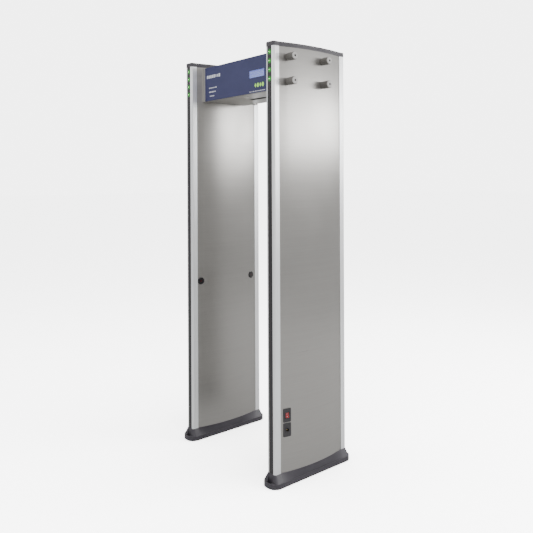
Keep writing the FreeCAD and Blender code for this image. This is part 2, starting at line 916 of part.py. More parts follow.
def knob_cap(label):
    body = turned(label, [
        (0, 0), (n.knob_cap_depth, 0), (n.knob_cap_depth, n.knob_cap_radius - n.knob_chamfer),
        (n.knob_cap_depth - n.knob_chamfer, n.knob_cap_radius), (0, n.knob_cap_radius)])
    socket = new_sketch(body, "YZ_Plane", n.knob_cap_depth)
    hexagon(socket, n.knob_hex)
    pocket(body, socket, n.knob_hex_depth)
    return body


knob_source = knob("knob_source")
knob_cap_source = knob_cap("knob_cap_source")
tubes, studs, knobs, knob_caps = [], [], [], []
for y, seat in stud_rows:
    tube = stud_tube("tube_source", Size.of(y))
    inner_end = cheek_face - n.stud_stop
    outer_end = seat + n.stud_reach
    stud = turned("stud_source", [(-inner_end, 0), (outer_end, 0), (outer_end, n.stud_radius),
                                  (-inner_end, n.stud_radius)])
    for side in sides:
        outwards = (sides[side], 0, 0)
        knob_x = panel_x(side) + seat * sides[side]
        cap_x = knob_x + (n.knob_length - n.knob_cap_seat) * sides[side]
        for height in stud_heights:
            tubes.append(copy(tube, outwards, panel_x(side), y, height))
            studs.append(copy(stud, outwards, panel_x(side), y, height))
            knobs.append(copy(knob_source, outwards, knob_x, y, height))
            knob_caps.append(copy(knob_cap_source, outwards, cap_x, y, height))
keep(together("clamp_tubes", tubes))
keep(together("clamp_studs", studs))
keep(together("clamp_knobs", knobs))
keep(together("knob_caps", knob_caps))

# ---------------------------------------------------------------- beam sensors

sensor = turned("sensor_source", [
    (-n.sensor_barrel_length, 0), (n.sensor_rim - n.sensor_window_depth, 0),
    (n.sensor_rim - n.sensor_window_depth, n.sensor_window), (n.sensor_rim, n.sensor_window),
    (n.sensor_rim, n.sensor_radius - n.sensor_rim / 2), (n.sensor_rim / 2, n.sensor_radius),
    (0, n.sensor_radius), (0, n.sensor_barrel), (-n.sensor_barrel_length, n.sensor_barrel)])
sensor_window = turned("sensor_window_source", [
    (n.sensor_rim - n.sensor_window_depth, 0), (n.sensor_rim - n.sensor_window_depth / 3, 0),
    (n.sensor_rim - n.sensor_window_depth / 3, n.sensor_window),
    (n.sensor_rim - n.sensor_window_depth, n.sensor_window)])
sensor_windows = []
for side in sides:
    rims = []
    for y in sensor_places:
        rims.append(on_skin(copy(sensor), side, -sides[side], y, n.sensor_height))
        sensor_windows.append(on_skin(copy(sensor_window), side, -sides[side], y, n.sensor_height))
    keep(together(f"{side}_beam_sensors", rims))
keep(together("beam_windows", sensor_windows))

# ---------------------------------------------------------------- control unit

face_back = unit_front - n.face_sheet
case_half = unit_half - n.face_side_gap
window_x = unit_half - n.window_setback
window_middle = unit_bottom + n.window_z
key_x = unit_half - n.key_setback
key_middle = unit_bottom + n.key_z
key_reach = n.key_pitch * (n.key_count - 1) / 2
key_range = range(SIZES["Control unit"]["key_count"])
hinge_places = [n.hinge_setback - case_half, case_half - n.hinge_setback]
hinge_y = unit_rear - n.hinge_back
hinge_z = unit_bottom - n.hinge_drop
hatch_low = unit_bottom - n.hatch_gap - n.hatch_sheet


def cheek(label, side):
    """End block whose back follows the panel's curve and whose blind threads take the studs."""
    inward = -sides[side]
    near, far = (skin_foot, cheek_face) if inward > 0 else (-cheek_face, -skin_foot)
    block = box(f"{label}_block", panel_x(side) + near, panel_x(side) + far,
                -unit_front, unit_rear, unit_bottom, unit_top)
    curve = doc.addObject("Part::Cylinder", "Curve")
    bind(curve, Radius=lens_radius + n.cheek_gap, Height=n.unit_height + 2 * n.cutter_spare)
    middle = (skin_foot + skin_rise - lens_radius) * inward
    place(curve, panel_x(side) + middle, 0, unit_bottom - n.cutter_spare)
    threads = []
    for y, _ in stud_rows:
        for height in stud_heights:
            thread = doc.addObject("Part::Cylinder", "Thread")
            thread.Placement.Rotation = FreeCAD.Rotation(FreeCAD.Vector(0, inward, 0), 90)
            bind(thread, Radius=n.stud_radius + n.thread_fit,
                 Height=cheek_face - n.stud_stop + n.thread_fit)
            threads.append(place(thread, panel_x(side), y, height))
    tool = together(f"{label}_tools", [curve] + threads)
    cut = doc.addObject("Part::Cut", "Cut")
    cut.Label = label
    cut.Base = block
    cut.Tool = tool
    return cut


def control_case(label):
    """Folded steel case, open at the front, with a service mouth and hinge lugs underneath."""
    body = new_body(label)
    plan = new_sketch(body, "XY_Plane", unit_bottom)
    rectangle(plan, -case_half, case_half, -face_back, unit_rear)
    pad(body, plan, n.unit_height)
    inside = new_sketch(body, "XZ_Plane", face_back)
    wide = case_half - n.unit_sheet
    rectangle(inside, -wide, wide, unit_bottom + n.unit_sheet, unit_top - n.unit_sheet)
    pocket(body, inside, face_back + unit_rear - n.unit_sheet)
    mouth = new_sketch(body, "XY_Plane", unit_bottom)
    mouth_half = wide - n.mouth_margin
    rectangle(mouth, -mouth_half, mouth_half, n.mouth_margin - face_back,
              unit_rear - n.unit_sheet - n.mouth_margin)
    pocket(body, mouth, n.unit_sheet, backwards=True)
    ear = n.knuckle_radius + n.hinge_side_gap
    for x in hinge_places:
        for start in (x - n.hinge_length / 2 - n.hinge_side_gap - n.hinge_ear,
                      x + n.hinge_length / 2 + n.hinge_side_gap):
            lug = new_sketch(body, "YZ_Plane", start)
            outline(lug, [(hinge_y - ear, unit_bottom + n.unit_sheet / 2),
                          (hinge_y - ear, hinge_z, ear, 1), (hinge_y, hinge_z - ear, ear, 1),
                          (hinge_y + ear, hinge_z),
                          (hinge_y + ear, unit_bottom + n.unit_sheet / 2)])
            pad(body, lug, n.hinge_ear)
    bores = new_sketch(body, "YZ_Plane", -case_half)
    circle(bores, hinge_y, hinge_z, n.pin_radius + n.pin_press)
    pocket(body, bores, backwards=True)
    return body


def key_corners(index, grow=0):
    """Outline of a key in the face's plane: even keys are diamonds and odd ones are ovals."""
    x = key_x - key_reach + n.key_pitch * index
    z = key_middle
    wide = n.key_width / 2 + grow
    tall = n.key_height / 2 + grow
    if index % 2 == 0:
        return [(x - wide, z), (x, z - tall), (x + wide, z), (x, z + tall)]
    straight = tall - wide
    return [(x - wide, z - straight, wide, 1), (x, z - tall, wide, 1), (x + wide, z - straight),
            (x + wide, z + straight, wide, 1), (x, z + tall, wide, 1), (x - wide, z + straight)]


def key(label, index):
    """Key cap with a flange behind the face that stops it from falling out."""
    body = new_body(label)
    flange_front = face_back - n.key_gap
    flange = new_sketch(body, "XZ_Plane", flange_front - n.key_flange)
    outline(flange, key_corners(index, n.key_fit + n.key_flange_rim))
    pad(body, flange, n.key_flange)
    cap = new_sketch(body, "XZ_Plane", flange_front - n.key_flange / 2)
    outline(cap, key_corners(index))
    pad(body, cap, unit_front + n.key_proud - flange_front + n.key_flange / 2)
    return body


def control_face(label):
    body = new_body(label)
    plate = new_sketch(body, "XZ_Plane", face_back)
    rectangle(plate, -case_half, case_half, unit_bottom, unit_top)
    pad(body, plate, n.face_sheet)
    holes = new_sketch(body, "XZ_Plane", face_back)
    wide, tall = n.window_width / 2, n.window_height / 2
    rectangle(holes, window_x - wide, window_x + wide, window_middle - tall, window_middle + tall)
    for index in key_range:
        outline(holes, key_corners(index, n.key_fit))
    pocket(body, holes, backwards=True)
    return body


for side in sides:
    keep(cheek(f"{side}_cheek", side))
keep(control_case("control_case"))
keep(control_face("control_face"))

window_half = n.window_width / 2 - n.window_fit
window_tall = n.window_height / 2 - n.window_fit
keep(box("display_window", window_x - window_half, window_x + window_half,
         n.window_fit - unit_front, n.window_fit + n.window_sheet - unit_front,
         window_middle - window_tall, window_middle + window_tall))
module_front = n.module_gap - face_back
module_back = module_front + n.module_depth
module_half = n.window_width / 2 + n.screen_border
module_tall = n.window_height / 2 + n.screen_border
keep(box("display_module", window_x - module_half, window_x + module_half, module_front,
         module_back, window_middle - module_tall, window_middle + module_tall))
for index in key_range:
    keep(key(f"key_{index + 1}", index))

board_front = module_back + n.module_gap
board_back = board_front + n.main_board_sheet
board_middle = unit_bottom + n.unit_height / 2
board_x0 = window_x - n.board_left
board_x1 = window_x + n.board_right
mat_front = n.key_gap - face_back + n.key_flange + n.key_travel + n.key_spare
mat_half = key_reach + n.key_width / 2 + n.mat_margin
mat_tall = n.key_height / 2 + n.mat_margin
keep(box("key_mat", key_x - mat_half, key_x + mat_half, mat_front, board_front,
         key_middle - mat_tall, key_middle + mat_tall))
keep(box("main_board", board_x0, board_x1, board_front, board_back,
         board_middle - n.board_height / 2, board_middle + n.board_height / 2))
post_length = board_front + face_back
post = turned("post_source", [(0, 0), (post_length, 0), (post_length, n.post_radius),
                              (0, n.post_radius)])
post_z = n.board_height / 2 - n.post_inset / 2
keep(together("board_posts", [copy(post, (0, 1, 0), x, -face_back, board_middle + z)
                              for x in (board_x0 + n.post_inset, board_x1 - n.post_inset)
                              for z in (-post_z, post_z)]))
sounder = turned("sounder_source", [(0, 0), (n.sounder_depth, 0),
                                    (n.sounder_depth, n.sounder_radius), (0, n.sounder_radius)])
keep(together("sounder", [copy(sounder, (0, 1, 0), window_x, board_back, board_middle)]))


def hatch(label):
    """Service hatch with a pull slot, a lock hole and a knuckle at each hinge."""
    body = new_body(label)
    plate = new_sketch(body, "XY_Plane", hatch_low)
    wide = case_half - n.hatch_side
    rectangle(plate, -wide, wide, n.hatch_front - unit_front, unit_rear - n.hatch_rear)
    pad(body, plate, n.hatch_sheet)
    cuts = new_sketch(body, "XY_Plane", hatch_low)
    end = n.slot_width / 2
    reach = n.slot_length / 2 - end
    outline(cuts, [(-reach, n.slot_y - end), (reach, n.slot_y - end, end, 1),
                   (reach + end, n.slot_y, end, 1), (reach, n.slot_y + end),
                   (-reach, n.slot_y + end, end, 1), (-reach - end, n.slot_y, end, 1)])
    circle(cuts, 0, n.lock_setback - unit_front, n.lock_radius)
    pocket(body, cuts, backwards=True)
    radius = n.knuckle_radius
    rear = unit_rear - n.hatch_rear
    for x in hinge_places:
        arm = new_sketch(body, "YZ_Plane", x - n.hinge_length / 2)
        outline(arm, [(rear - n.mouth_margin, hatch_low), (hinge_y, hinge_z - radius, radius, 1),
                      (hinge_y + radius, hinge_z, radius, 1), (hinge_y, hinge_z + radius),
                      (rear, hatch_low + n.hatch_sheet),
                      (rear - n.mouth_margin, hatch_low + n.hatch_sheet)])
        pad(body, arm, n.hinge_length)
    bores = new_sketch(body, "YZ_Plane", -case_half)
    circle(bores, hinge_y, hinge_z, n.pin_radius + n.pin_running)
    pocket(body, bores, backwards=True)
    return body


def hatch_lock(label):
    """Quarter-turn plug with a key slot and a cam that passes over the mouth's edge."""
    body = new_body(label, y=n.lock_setback - unit_front, z=hatch_low)
    cam_low = n.hatch_sheet + n.hatch_gap + n.unit_sheet + n.cam_lift
    head = new_sketch(body, "XY_Plane", -n.lock_head - n.lock_head_gap)
    circle(head, 0, 0, n.lock_head_radius)
    pad(body, head, n.lock_head)
    plug = new_sketch(body, "XY_Plane", -n.lock_head / 2)
    circle(plug, 0, 0, n.lock_radius - n.lock_running)
    pad(body, plug, cam_low + n.cam_sheet + n.lock_head / 2)
    cam = new_sketch(body, "XY_Plane", cam_low)
    wide = n.cam_width / 2
    outline(cam, [(0, -wide), (n.cam_length - wide, -wide, wide, 1), (n.cam_length, 0, wide, 1),
                  (n.cam_length - wide, wide), (0, wide)])
    pad(body, cam, n.cam_sheet)
    slot = new_sketch(body, "XY_Plane", -n.lock_head - n.lock_head_gap)
    rectangle(slot, -n.lock_key_length / 2, n.lock_key_length / 2,
              -n.lock_key_width / 2, n.lock_key_width / 2)
    pocket(body, slot, n.lock_head, backwards=True)
    return body


keep(hatch("hatch"))
keep(hatch_lock("hatch_lock"))
pin_half = n.hinge_length / 2 + n.hinge_side_gap + n.hinge_ear
pin = turned("pin_source", [(-pin_half, 0), (pin_half, 0), (pin_half, n.pin_radius),
                            (-pin_half, n.pin_radius)])
keep(together("hinge_pins", [copy(pin, (1, 0, 0), x, hinge_y, hinge_z)
                             for x in hinge_places]))

# ---------------------------------------------------------------- power plates


def plate(label):
    """Small flat plate with round corners and four rivet holes, its back at X = 0."""
    body = new_body(label)
    sketch = new_sketch(body, "YZ_Plane")
    wide, tall = rivet_y + n.plate_rim, rivet_z + n.plate_rim
    outline(sketch, rounded(-wide, wide, -tall, tall, n.plate_corner))
    for y, z in rivet_places:
        circle(sketch, y, z, n.rivet_radius + n.rivet_hole)
    pad(body, sketch, n.plate_sheet)
    return body


def switch_plate(label):
    body = plate(label)
    hole = new_sketch(body, "YZ_Plane")
    wide, tall = frame_half + n.plate_fit, frame_tall + n.plate_fit
    rectangle(hole, -wide, wide, -tall, tall)
    pocket(body, hole, backwards=True)
    return body


def inlet_plate(label):
    body = plate(label)
    hole = new_sketch(body, "YZ_Plane")
    circle(hole, 0, 0, n.socket_radius + n.plate_fit)
    pocket(body, hole, backwards=True)
    return body


def rocker_frame(label):
    """Snap-in switch body with a rim, a deep opening and a bearing hole in each side."""
    body = new_body(label)
    core = new_sketch(body, "YZ_Plane", -n.frame_depth)
    rectangle(core, -frame_half, frame_half, -frame_tall, frame_tall)
    pad(body, core, n.frame_depth + n.plate_sheet + n.frame_rim / 2)
    rim = new_sketch(body, "YZ_Plane", n.plate_sheet)
    wide, tall = frame_half + n.frame_lip, frame_tall + n.frame_lip
    outline(rim, rounded(-wide, wide, -tall, tall, n.frame_lip))
    pad(body, rim, n.frame_rim)
    opening = new_sketch(body, "YZ_Plane", n.plate_sheet + n.frame_rim)
    rectangle(opening, -opening_half, opening_half, -opening_tall, opening_tall)
    pocket(body, opening, n.frame_depth + n.plate_sheet + n.frame_rim - n.frame_floor)
    bearings = new_sketch(body, "XZ_Plane", -frame_half)
    circle(bearings, n.rocker_pivot, 0, n.trunnion_radius + n.pin_running)
    pocket(body, bearings, backwards=True)
    return body


def rocker(label):
    """Rocker with two shallow wings, resting with its upper end pressed in."""
    body = new_body(label)
    throw = math.radians(n.rocker_throw.value)
    cosine = Size(math.cos(throw), f"cos({n.rocker_throw.formula} * 1 deg)")
    sine = Size(math.sin(throw), f"sin({n.rocker_throw.formula} * 1 deg)")
    tall = n.rocker_tall / 2
    heel = tall * n.rocker_taper

    def leaned(x, z):
        out = x - n.rocker_pivot
        return (n.rocker_pivot + out * cosine - z * sine, out * sine + z * cosine)

    section = new_sketch(body, "XZ_Plane", -n.rocker_width / 2)
    outline(section, [leaned(-n.rocker_back, -heel), leaned(0, -tall),
                      leaned(n.rocker_rise, -tall), leaned(n.rocker_dip, 0),
                      leaned(n.rocker_rise, tall), leaned(0, tall),
                      leaned(-n.rocker_back, heel)])
    pad(body, section, n.rocker_width)
    reach = n.rocker_width / 2 + n.trunnion_reach
    trunnions = new_sketch(body, "XZ_Plane", -reach)
    circle(trunnions, n.rocker_pivot, 0, n.trunnion_radius)
    pad(body, trunnions, 2 * reach)
    return body


def on_plate(thing, height):
    return on_skin(thing, "right", 1, -plate_y, height)


keep(on_plate(switch_plate("switch_plate"), n.switch_height))
keep(on_plate(rocker_frame("rocker_frame"), n.switch_height))
keep(on_plate(rocker("rocker"), n.switch_height))
keep(on_plate(inlet_plate("inlet_plate"), n.inlet_height))
socket_back = n.plate_sheet - n.socket_depth
socket_front = n.plate_sheet + n.socket_rim
keep(on_plate(turned("inlet_socket", [
    (socket_back, 0), (socket_back + n.socket_floor, 0), (socket_back + n.socket_floor, n.socket_bore),
    (socket_front, n.socket_bore), (socket_front, n.socket_rim_radius),
    (n.plate_sheet, n.socket_rim_radius), (n.plate_sheet, n.socket_radius),
    (socket_back, n.socket_radius)]), n.inlet_height))
contact_back = socket_back + n.socket_floor
contact_front = contact_back + n.contact_length
keep(on_plate(turned("inlet_contact", [
    (contact_back, 0), (contact_front, 0), (contact_front, n.contact_radius),
    (contact_back, n.contact_radius)]), n.inlet_height))

rivet = turned("rivet_source", [
    (n.plate_sheet - n.rivet_length, 0), (n.plate_sheet + n.rivet_head, 0),
    (n.plate_sheet + n.rivet_head, n.rivet_radius), (n.plate_sheet, n.rivet_head_radius),
    (n.plate_sheet, n.rivet_radius), (n.plate_sheet - n.rivet_length, n.rivet_radius)])
rivets = []
for height in (n.switch_height, n.inlet_height):
    corner_links = [copy(rivet, (1, 0, 0), 0, y, z) for y, z in rivet_places]
    rivets.append(on_plate(together("rivet_group", corner_links), height))
keep(together("plate_rivets", rivets))

supply_x = panel_x("right") + n.board_sheet / 2 + n.supply_gap
keep(box("power_supply", supply_x, supply_x + n.supply_depth,
         n.supply_y - n.supply_width / 2, n.supply_y + n.supply_width / 2,
         n.supply_height, n.supply_height + n.supply_tall))

# ---------------------------------------------------------------- check and export

doc.recompute()
faults = [item.Label for item in doc.Objects if {"Invalid", "Error"} & set(item.State)]
faults += [item.Label for item in nodes if item.Shape.isNull() or not item.Shape.isValid()]
if faults:
    raise RuntimeError(f"these did not build: {faults}")
os.makedirs("parts", exist_ok=True)
for item in nodes:
    item.Shape.exportStep(f"parts/{item.Label}.step")
    print(item.Label, len(item.Shape.Solids), round(item.Shape.Volume))
print(len(nodes), "nodes")
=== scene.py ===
import math

import bpy
from mathutils import Matrix, Vector


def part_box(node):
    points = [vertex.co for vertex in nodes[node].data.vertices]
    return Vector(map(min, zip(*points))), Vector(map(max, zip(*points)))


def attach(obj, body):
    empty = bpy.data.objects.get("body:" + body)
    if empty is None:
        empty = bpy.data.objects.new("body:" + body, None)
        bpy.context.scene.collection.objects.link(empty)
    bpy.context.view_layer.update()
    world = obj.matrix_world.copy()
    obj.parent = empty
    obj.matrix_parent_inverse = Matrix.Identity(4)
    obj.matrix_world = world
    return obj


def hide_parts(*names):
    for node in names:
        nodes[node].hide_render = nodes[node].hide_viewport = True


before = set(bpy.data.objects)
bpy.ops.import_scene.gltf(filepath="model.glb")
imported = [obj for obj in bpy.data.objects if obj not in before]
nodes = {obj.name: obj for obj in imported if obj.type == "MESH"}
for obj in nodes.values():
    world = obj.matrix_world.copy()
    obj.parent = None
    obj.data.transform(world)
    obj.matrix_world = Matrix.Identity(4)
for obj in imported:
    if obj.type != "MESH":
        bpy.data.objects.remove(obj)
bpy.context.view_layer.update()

scene = bpy.context.scene

# ---------------------------------------------------------------- studio
# The gate stands on a plain pale floor in soft light: a bright room all round, one wide softbox behind
# its right-hand side, which lays a light band over the upper half of the steel, and three weaker ones.


def plain_mesh(name, points, faces):
    mesh = bpy.data.meshes.new(name)
    mesh.from_pydata(points, [], faces)
    mesh.update()
    piece = bpy.data.objects.new(name, mesh)
    scene.collection.objects.link(piece)
    return piece


def softbox(name, place, target, width, height, watts):
    light = bpy.data.lights.new(name, "AREA")
    light.shape = "RECTANGLE"
    light.size, light.size_y, light.energy = width, height, watts
    holder = bpy.data.objects.new(name, light)
    aim = (Vector(target) - Vector(place)).to_track_quat("-Z", "Y").to_matrix().to_4x4()
    holder.matrix_world = Matrix.Translation(place) @ aim
    holder.visible_camera = False
    scene.collection.objects.link(holder)


lens = bpy.data.cameras.new("studio_camera")
lens.lens, lens.sensor_width, lens.shift_y = 41.73, 36, -0.164
lens.clip_end = 200
camera = bpy.data.objects.new("studio_camera", lens)
camera.matrix_world = (Matrix.Translation((2.7741, -2.2595, 1.5532))
                       @ Matrix.Rotation(math.radians(50.43), 4, "Z")
                       @ Matrix.Rotation(math.radians(90), 4, "X") @ Matrix.Rotation(-0.0046, 4, "Z"))
scene.collection.objects.link(camera)
scene.camera = camera

room = bpy.data.worlds.new("studio_room")
room.use_nodes = True
scene.world = room
sky = room.node_tree
looking = sky.nodes.new("ShaderNodeTexCoord")
parts = sky.nodes.new("ShaderNodeSeparateXYZ")
shade = sky.nodes.new("ShaderNodeValToRGB")
for place, grey in ((0.0, 0.62), (0.5, 0.72), (0.56, 0.95), (0.68, 0.85), (1.0, 0.7)):
    stop = shade.color_ramp.elements.new(place) if 0 < place < 1 else shade.color_ramp.elements[int(place)]
    stop.color = (grey, grey, grey * 1.005, 1)
level = sky.nodes.new("ShaderNodeMapRange")
level.inputs["From Min"].default_value = -1
seen = sky.nodes.new("ShaderNodeLightPath")
white = sky.nodes.new("ShaderNodeMix")
white.data_type = "RGBA"
white.inputs[7].default_value = (5.0, 5.0, 5.0, 1)
sky.links.new(looking.outputs["Generated"], parts.inputs[0])
sky.links.new(parts.outputs["Z"], level.inputs["Value"])
sky.links.new(level.outputs["Result"], shade.inputs["Fac"])
sky.links.new(shade.outputs["Color"], white.inputs[6])
sky.links.new(seen.outputs["Is Camera Ray"], white.inputs[0])
sky.links.new(white.outputs[2], sky.nodes["Background"].inputs["Color"])

softbox("rear_softbox", (3.3, 2.8, 2.2), (0.2, 0, 2.2), 4.5, 0.6, 125)
softbox("front_softbox", (-1.6, -4.6, 3.0), (0, 0, 1.4), 3.0, 2.0, 35)
softbox("side_softbox", (4.2, -2.6, 2.4), (0, 0, 1.3), 2.5, 2.5, 25)
softbox("top_softbox", (0.6, -0.6, 5.0), (0, 0, 1.0), 3.5, 3.5, 90)

floor_level, floor_reach = -0.0006, 60
corners = [(x * floor_reach, y * floor_reach, floor_level) for x, y in ((-1, -1), (1, -1), (1, 1), (-1, 1))]
floor = plain_mesh("floor", corners, [(0, 1, 2, 3)])
pale = bpy.data.materials.new("pale_floor")
pale.use_nodes = True
paper = pale.node_tree.nodes.new("ShaderNodeBsdfDiffuse")
bright = pale.node_tree.nodes.new("ShaderNodeMix")
bright.data_type = "RGBA"
bright.inputs[6].default_value = (0.62, 0.62, 0.62, 1)
bright.inputs[7].default_value = (5.2, 5.2, 5.2, 1)
pale.node_tree.links.new(
    pale.node_tree.nodes.new("ShaderNodeLightPath").outputs["Is Camera Ray"], bright.inputs[0])
pale.node_tree.links.new(bright.outputs[2], paper.inputs["Color"])
pale.node_tree.links.new(paper.outputs[0], pale.node_tree.nodes["Material Output"].inputs["Surface"])
floor.data.materials.append(pale)

# ---------------------------------------------------------------- feet
# Two injection-moulded feet in black plastic, each screwed up into the extrusions from below, with a
# plated bush at each end for a floor bolt. The moulding has a fine spark texture and floor scuffs.


def shared_effect(name, inputs, outputs):
    """An empty node group with named inputs and outputs, for an effect that several finishes use."""
    group = bpy.data.node_groups.new(name, "ShaderNodeTree")
    for label, value in inputs.items():
        kind = "NodeSocketVector" if isinstance(value, tuple) else "NodeSocketFloat"
        group.interface.new_socket(label, in_out="INPUT", socket_type=kind).default_value = value
    for label in outputs:
        group.interface.new_socket(label, in_out="OUTPUT", socket_type="NodeSocketFloat")
    return group, group.nodes.new("NodeGroupInput").outputs, group.nodes.new("NodeGroupOutput").inputs


def noise(tree, place, scale, detail, roughness=0.55):
    grain = tree.nodes.new("ShaderNodeTexNoise")
    grain.inputs["Detail"].default_value = detail
    grain.inputs["Roughness"].default_value = roughness
    tree.links.new(place, grain.inputs["Vector"])
    if isinstance(scale, (int, float)):
        grain.inputs["Scale"].default_value = scale
    else:
        tree.links.new(scale, grain.inputs["Scale"])
    return grain.outputs[0]


def between(tree, value, low, high, start=0.0, end=1.0):
    """The value from start to end, carried onto low to high."""
    ramp = tree.nodes.new("ShaderNodeMapRange")
    for socket, number in (("From Min", start), ("From Max", end), ("To Min", low), ("To Max", high)):
        ramp.inputs[socket].default_value = number
    tree.links.new(value, ramp.inputs["Value"])
    return ramp.outputs["Result"]


def combine(tree, first, second, how="MULTIPLY"):
    sum_ = tree.nodes.new("ShaderNodeMath")
    sum_.operation = how
    for value, socket in ((first, sum_.inputs[0]), (second, sum_.inputs[1])):
        if isinstance(value, (int, float)):
            socket.default_value = value
        else:
            tree.links.new(value, socket)
    return sum_.outputs[0]


def object_place(tree):
    return tree.nodes.new("ShaderNodeTexCoord").outputs["Object"]


moulded, given, put = shared_effect("moulded_texture", {"Fineness": 900.0}, ["Height", "Cloud"])
moulded.links.new(noise(moulded, object_place(moulded), given["Fineness"], 2), put["Height"])
moulded.links.new(noise(moulded, object_place(moulded), 9.0, 4), put["Cloud"])

dust, given, put = shared_effect("settled_dust", {"Amount": 0.5}, ["Mask"])
upward = dust.nodes.new("ShaderNodeSeparateXYZ")
dust.links.new(dust.nodes.new("ShaderNodeNewGeometry").outputs["Normal"], upward.inputs[0])
flat_share = between(dust, upward.outputs["Z"], 0, 1, 0.35, 1.0)
specks = between(dust, noise(dust, object_place(dust), 60.0, 6, 0.7), 0.15, 1, 0.35, 0.75)
dust.links.new(combine(dust, combine(dust, flat_share, specks), given["Amount"]), put["Mask"])

scuffs, given, put = shared_effect("floor_scuffs", {"Reach": 0.06}, ["Mask"])
heights = scuffs.nodes.new("ShaderNodeSeparateXYZ")
scuffs.links.new(object_place(scuffs), heights.inputs[0])
low_down = combine(scuffs, heights.outputs["Z"], given["Reach"], "DIVIDE")
fading = between(scuffs, low_down, 1, 0)
stretch = scuffs.nodes.new("ShaderNodeMapping")
stretch.inputs["Scale"].default_value = (60, 12, 260)
scuffs.links.new(object_place(scuffs), stretch.inputs["Vector"])
streaks = between(scuffs, noise(scuffs, stretch.outputs[0], 1.0, 5, 0.65), 0, 1, 0.6, 0.78)
scuffs.links.new(combine(scuffs, fading, streaks), put["Mask"])


def new_finish(name, metallic=0.0, **fixed):
    """A material with its surface shader; fixed numbers go straight on the shader's sockets."""
    finish = bpy.data.materials.new(name)
    finish.use_nodes = True
    shader = finish.node_tree.nodes["Principled BSDF"]
    shader.inputs["Metallic"].default_value = metallic
    for socket, value in fixed.items():
        shader.inputs[socket.replace("_", " ")].default_value = value
    return finish, finish.node_tree, shader


def use(tree, effect, **values):
    box = tree.nodes.new("ShaderNodeGroup")
    box.node_tree = effect
    for label, value in values.items():
        box.inputs[label].default_value = value
    return box.outputs


def tint(tree, mask, first, second):
    """A colour between two, by a mask; either may be a socket."""
    mix = tree.nodes.new("ShaderNodeMix")
    mix.data_type = "RGBA"
    tree.links.new(mask, mix.inputs[0])
    for colour, socket in ((first, mix.inputs[6]), (second, mix.inputs[7])):
        if isinstance(colour, tuple):
            socket.default_value = (*colour, 1)
        else:
            tree.links.new(colour, socket)
    return mix.outputs[2]


def roughen(tree, shader, height, depth, strength=1.0):
    bump = tree.nodes.new("ShaderNodeBump")
    bump.inputs["Distance"].default_value = depth
    bump.inputs["Strength"].default_value = strength
    tree.links.new(height, bump.inputs["Height"])
    tree.links.new(bump.outputs["Normal"], shader.inputs["Normal"])


def dress(finish, *names):
    for name in names:
        nodes[name].data.materials[0] = finish


def moulded_plastic(name, dark, light, smooth, coarse, fineness, depth, dusty):
    """Moulded plastic: clouded colour, textured skin and a little dust on its upper faces."""
    finish, tree, shader = new_finish(name)
    skin = use(tree, moulded, Fineness=fineness)
    body = tint(tree, between(tree, skin["Cloud"], 0, 1, 0.3, 0.7), dark, light)
    mask = use(tree, dust, Amount=dusty)["Mask"]
    tree.links.new(tint(tree, mask, body, (0.34, 0.33, 0.32)), shader.inputs["Base Color"])
    rough = between(tree, skin["Cloud"], smooth, coarse, 0.3, 0.7)
    tree.links.new(combine(tree, rough, combine(tree, mask, 0.3), "ADD"), shader.inputs["Roughness"])
    roughen(tree, shader, skin["Height"], depth)
    return finish, tree, shader, body, mask


foot_finish, tree, shader, body, mask = moulded_plastic(
    "foot_plastic", (0.034, 0.031, 0.039), (0.050, 0.046, 0.056), 0.34, 0.44, 700.0, 0.00018, 0.25)
worn = use(tree, scuffs, Reach=0.04)["Mask"]
tree.links.new(tint(tree, combine(tree, worn, 0.45),
                    tint(tree, mask, body, (0.30, 0.29, 0.30)), (0.22, 0.21, 0.21)),
               shader.inputs["Base Color"])
dress(foot_finish, "left_foot", "right_foot")

worked, given, put = shared_effect(
    "worked_metal", {"Stretch": (40.0, 40.0, 40.0), "Streaks": 0.4}, ["Height", "Tone"])
pull = worked.nodes.new("ShaderNodeVectorMath")
pull.operation = "MULTIPLY"
worked.links.new(object_place(worked), pull.inputs[0])
worked.links.new(given["Stretch"], pull.inputs[1])
wide = worked.nodes.new("ShaderNodeVectorMath")
wide.operation = "MULTIPLY"
wide.inputs[1].default_value = (0.09, 0.09, 0.09)
worked.links.new(pull.outputs[0], wide.inputs[0])
fine = noise(worked, pull.outputs[0], 1.0, 4, 0.7)
broad = noise(worked, wide.outputs[0], 1.0, 3, 0.5)
worked.links.new(fine, put["Height"])
blend = worked.nodes.new("ShaderNodeMix")
worked.links.new(given["Streaks"], blend.inputs[0])
worked.links.new(fine, blend.inputs[2])
worked.links.new(broad, blend.inputs[3])
worked.links.new(blend.outputs[0], put["Tone"])

handled, given, put = shared_effect("handling_marks", {"Size": 5.0}, ["Smudge"])
patches = noise(handled, object_place(handled), given["Size"], 6, 0.6)
handled.links.new(between(handled, patches, 0, 1, 0.42, 0.72), put["Smudge"])


def worked_metal(
        name, dark, light, smooth, coarse, pull_by, streaks, depth, anisotropy=0.0, turn=0.0, smudges=5.0,
        shine=1.0):
    """Bare metal with a directional grain and faint handling marks."""
    finish, tree, shader = new_finish(name, shine, Anisotropic=anisotropy, Anisotropic_Rotation=turn)
    grain = use(tree, worked, Stretch=pull_by, Streaks=streaks)
    tree.links.new(
        tint(tree, between(tree, grain["Tone"], 0, 1, 0.3, 0.7), dark, light), shader.inputs["Base Color"])
    smudge = use(tree, handled, Size=smudges)["Smudge"]
    rough = combine(
        tree, between(tree, grain["Tone"], smooth, coarse, 0.3, 0.7), combine(tree, smudge, 0.06), "ADD")
    tree.links.new(rough, shader.inputs["Roughness"])
    roughen(tree, shader, grain["Height"], depth, 0.6)
    return finish, tree, shader, grain


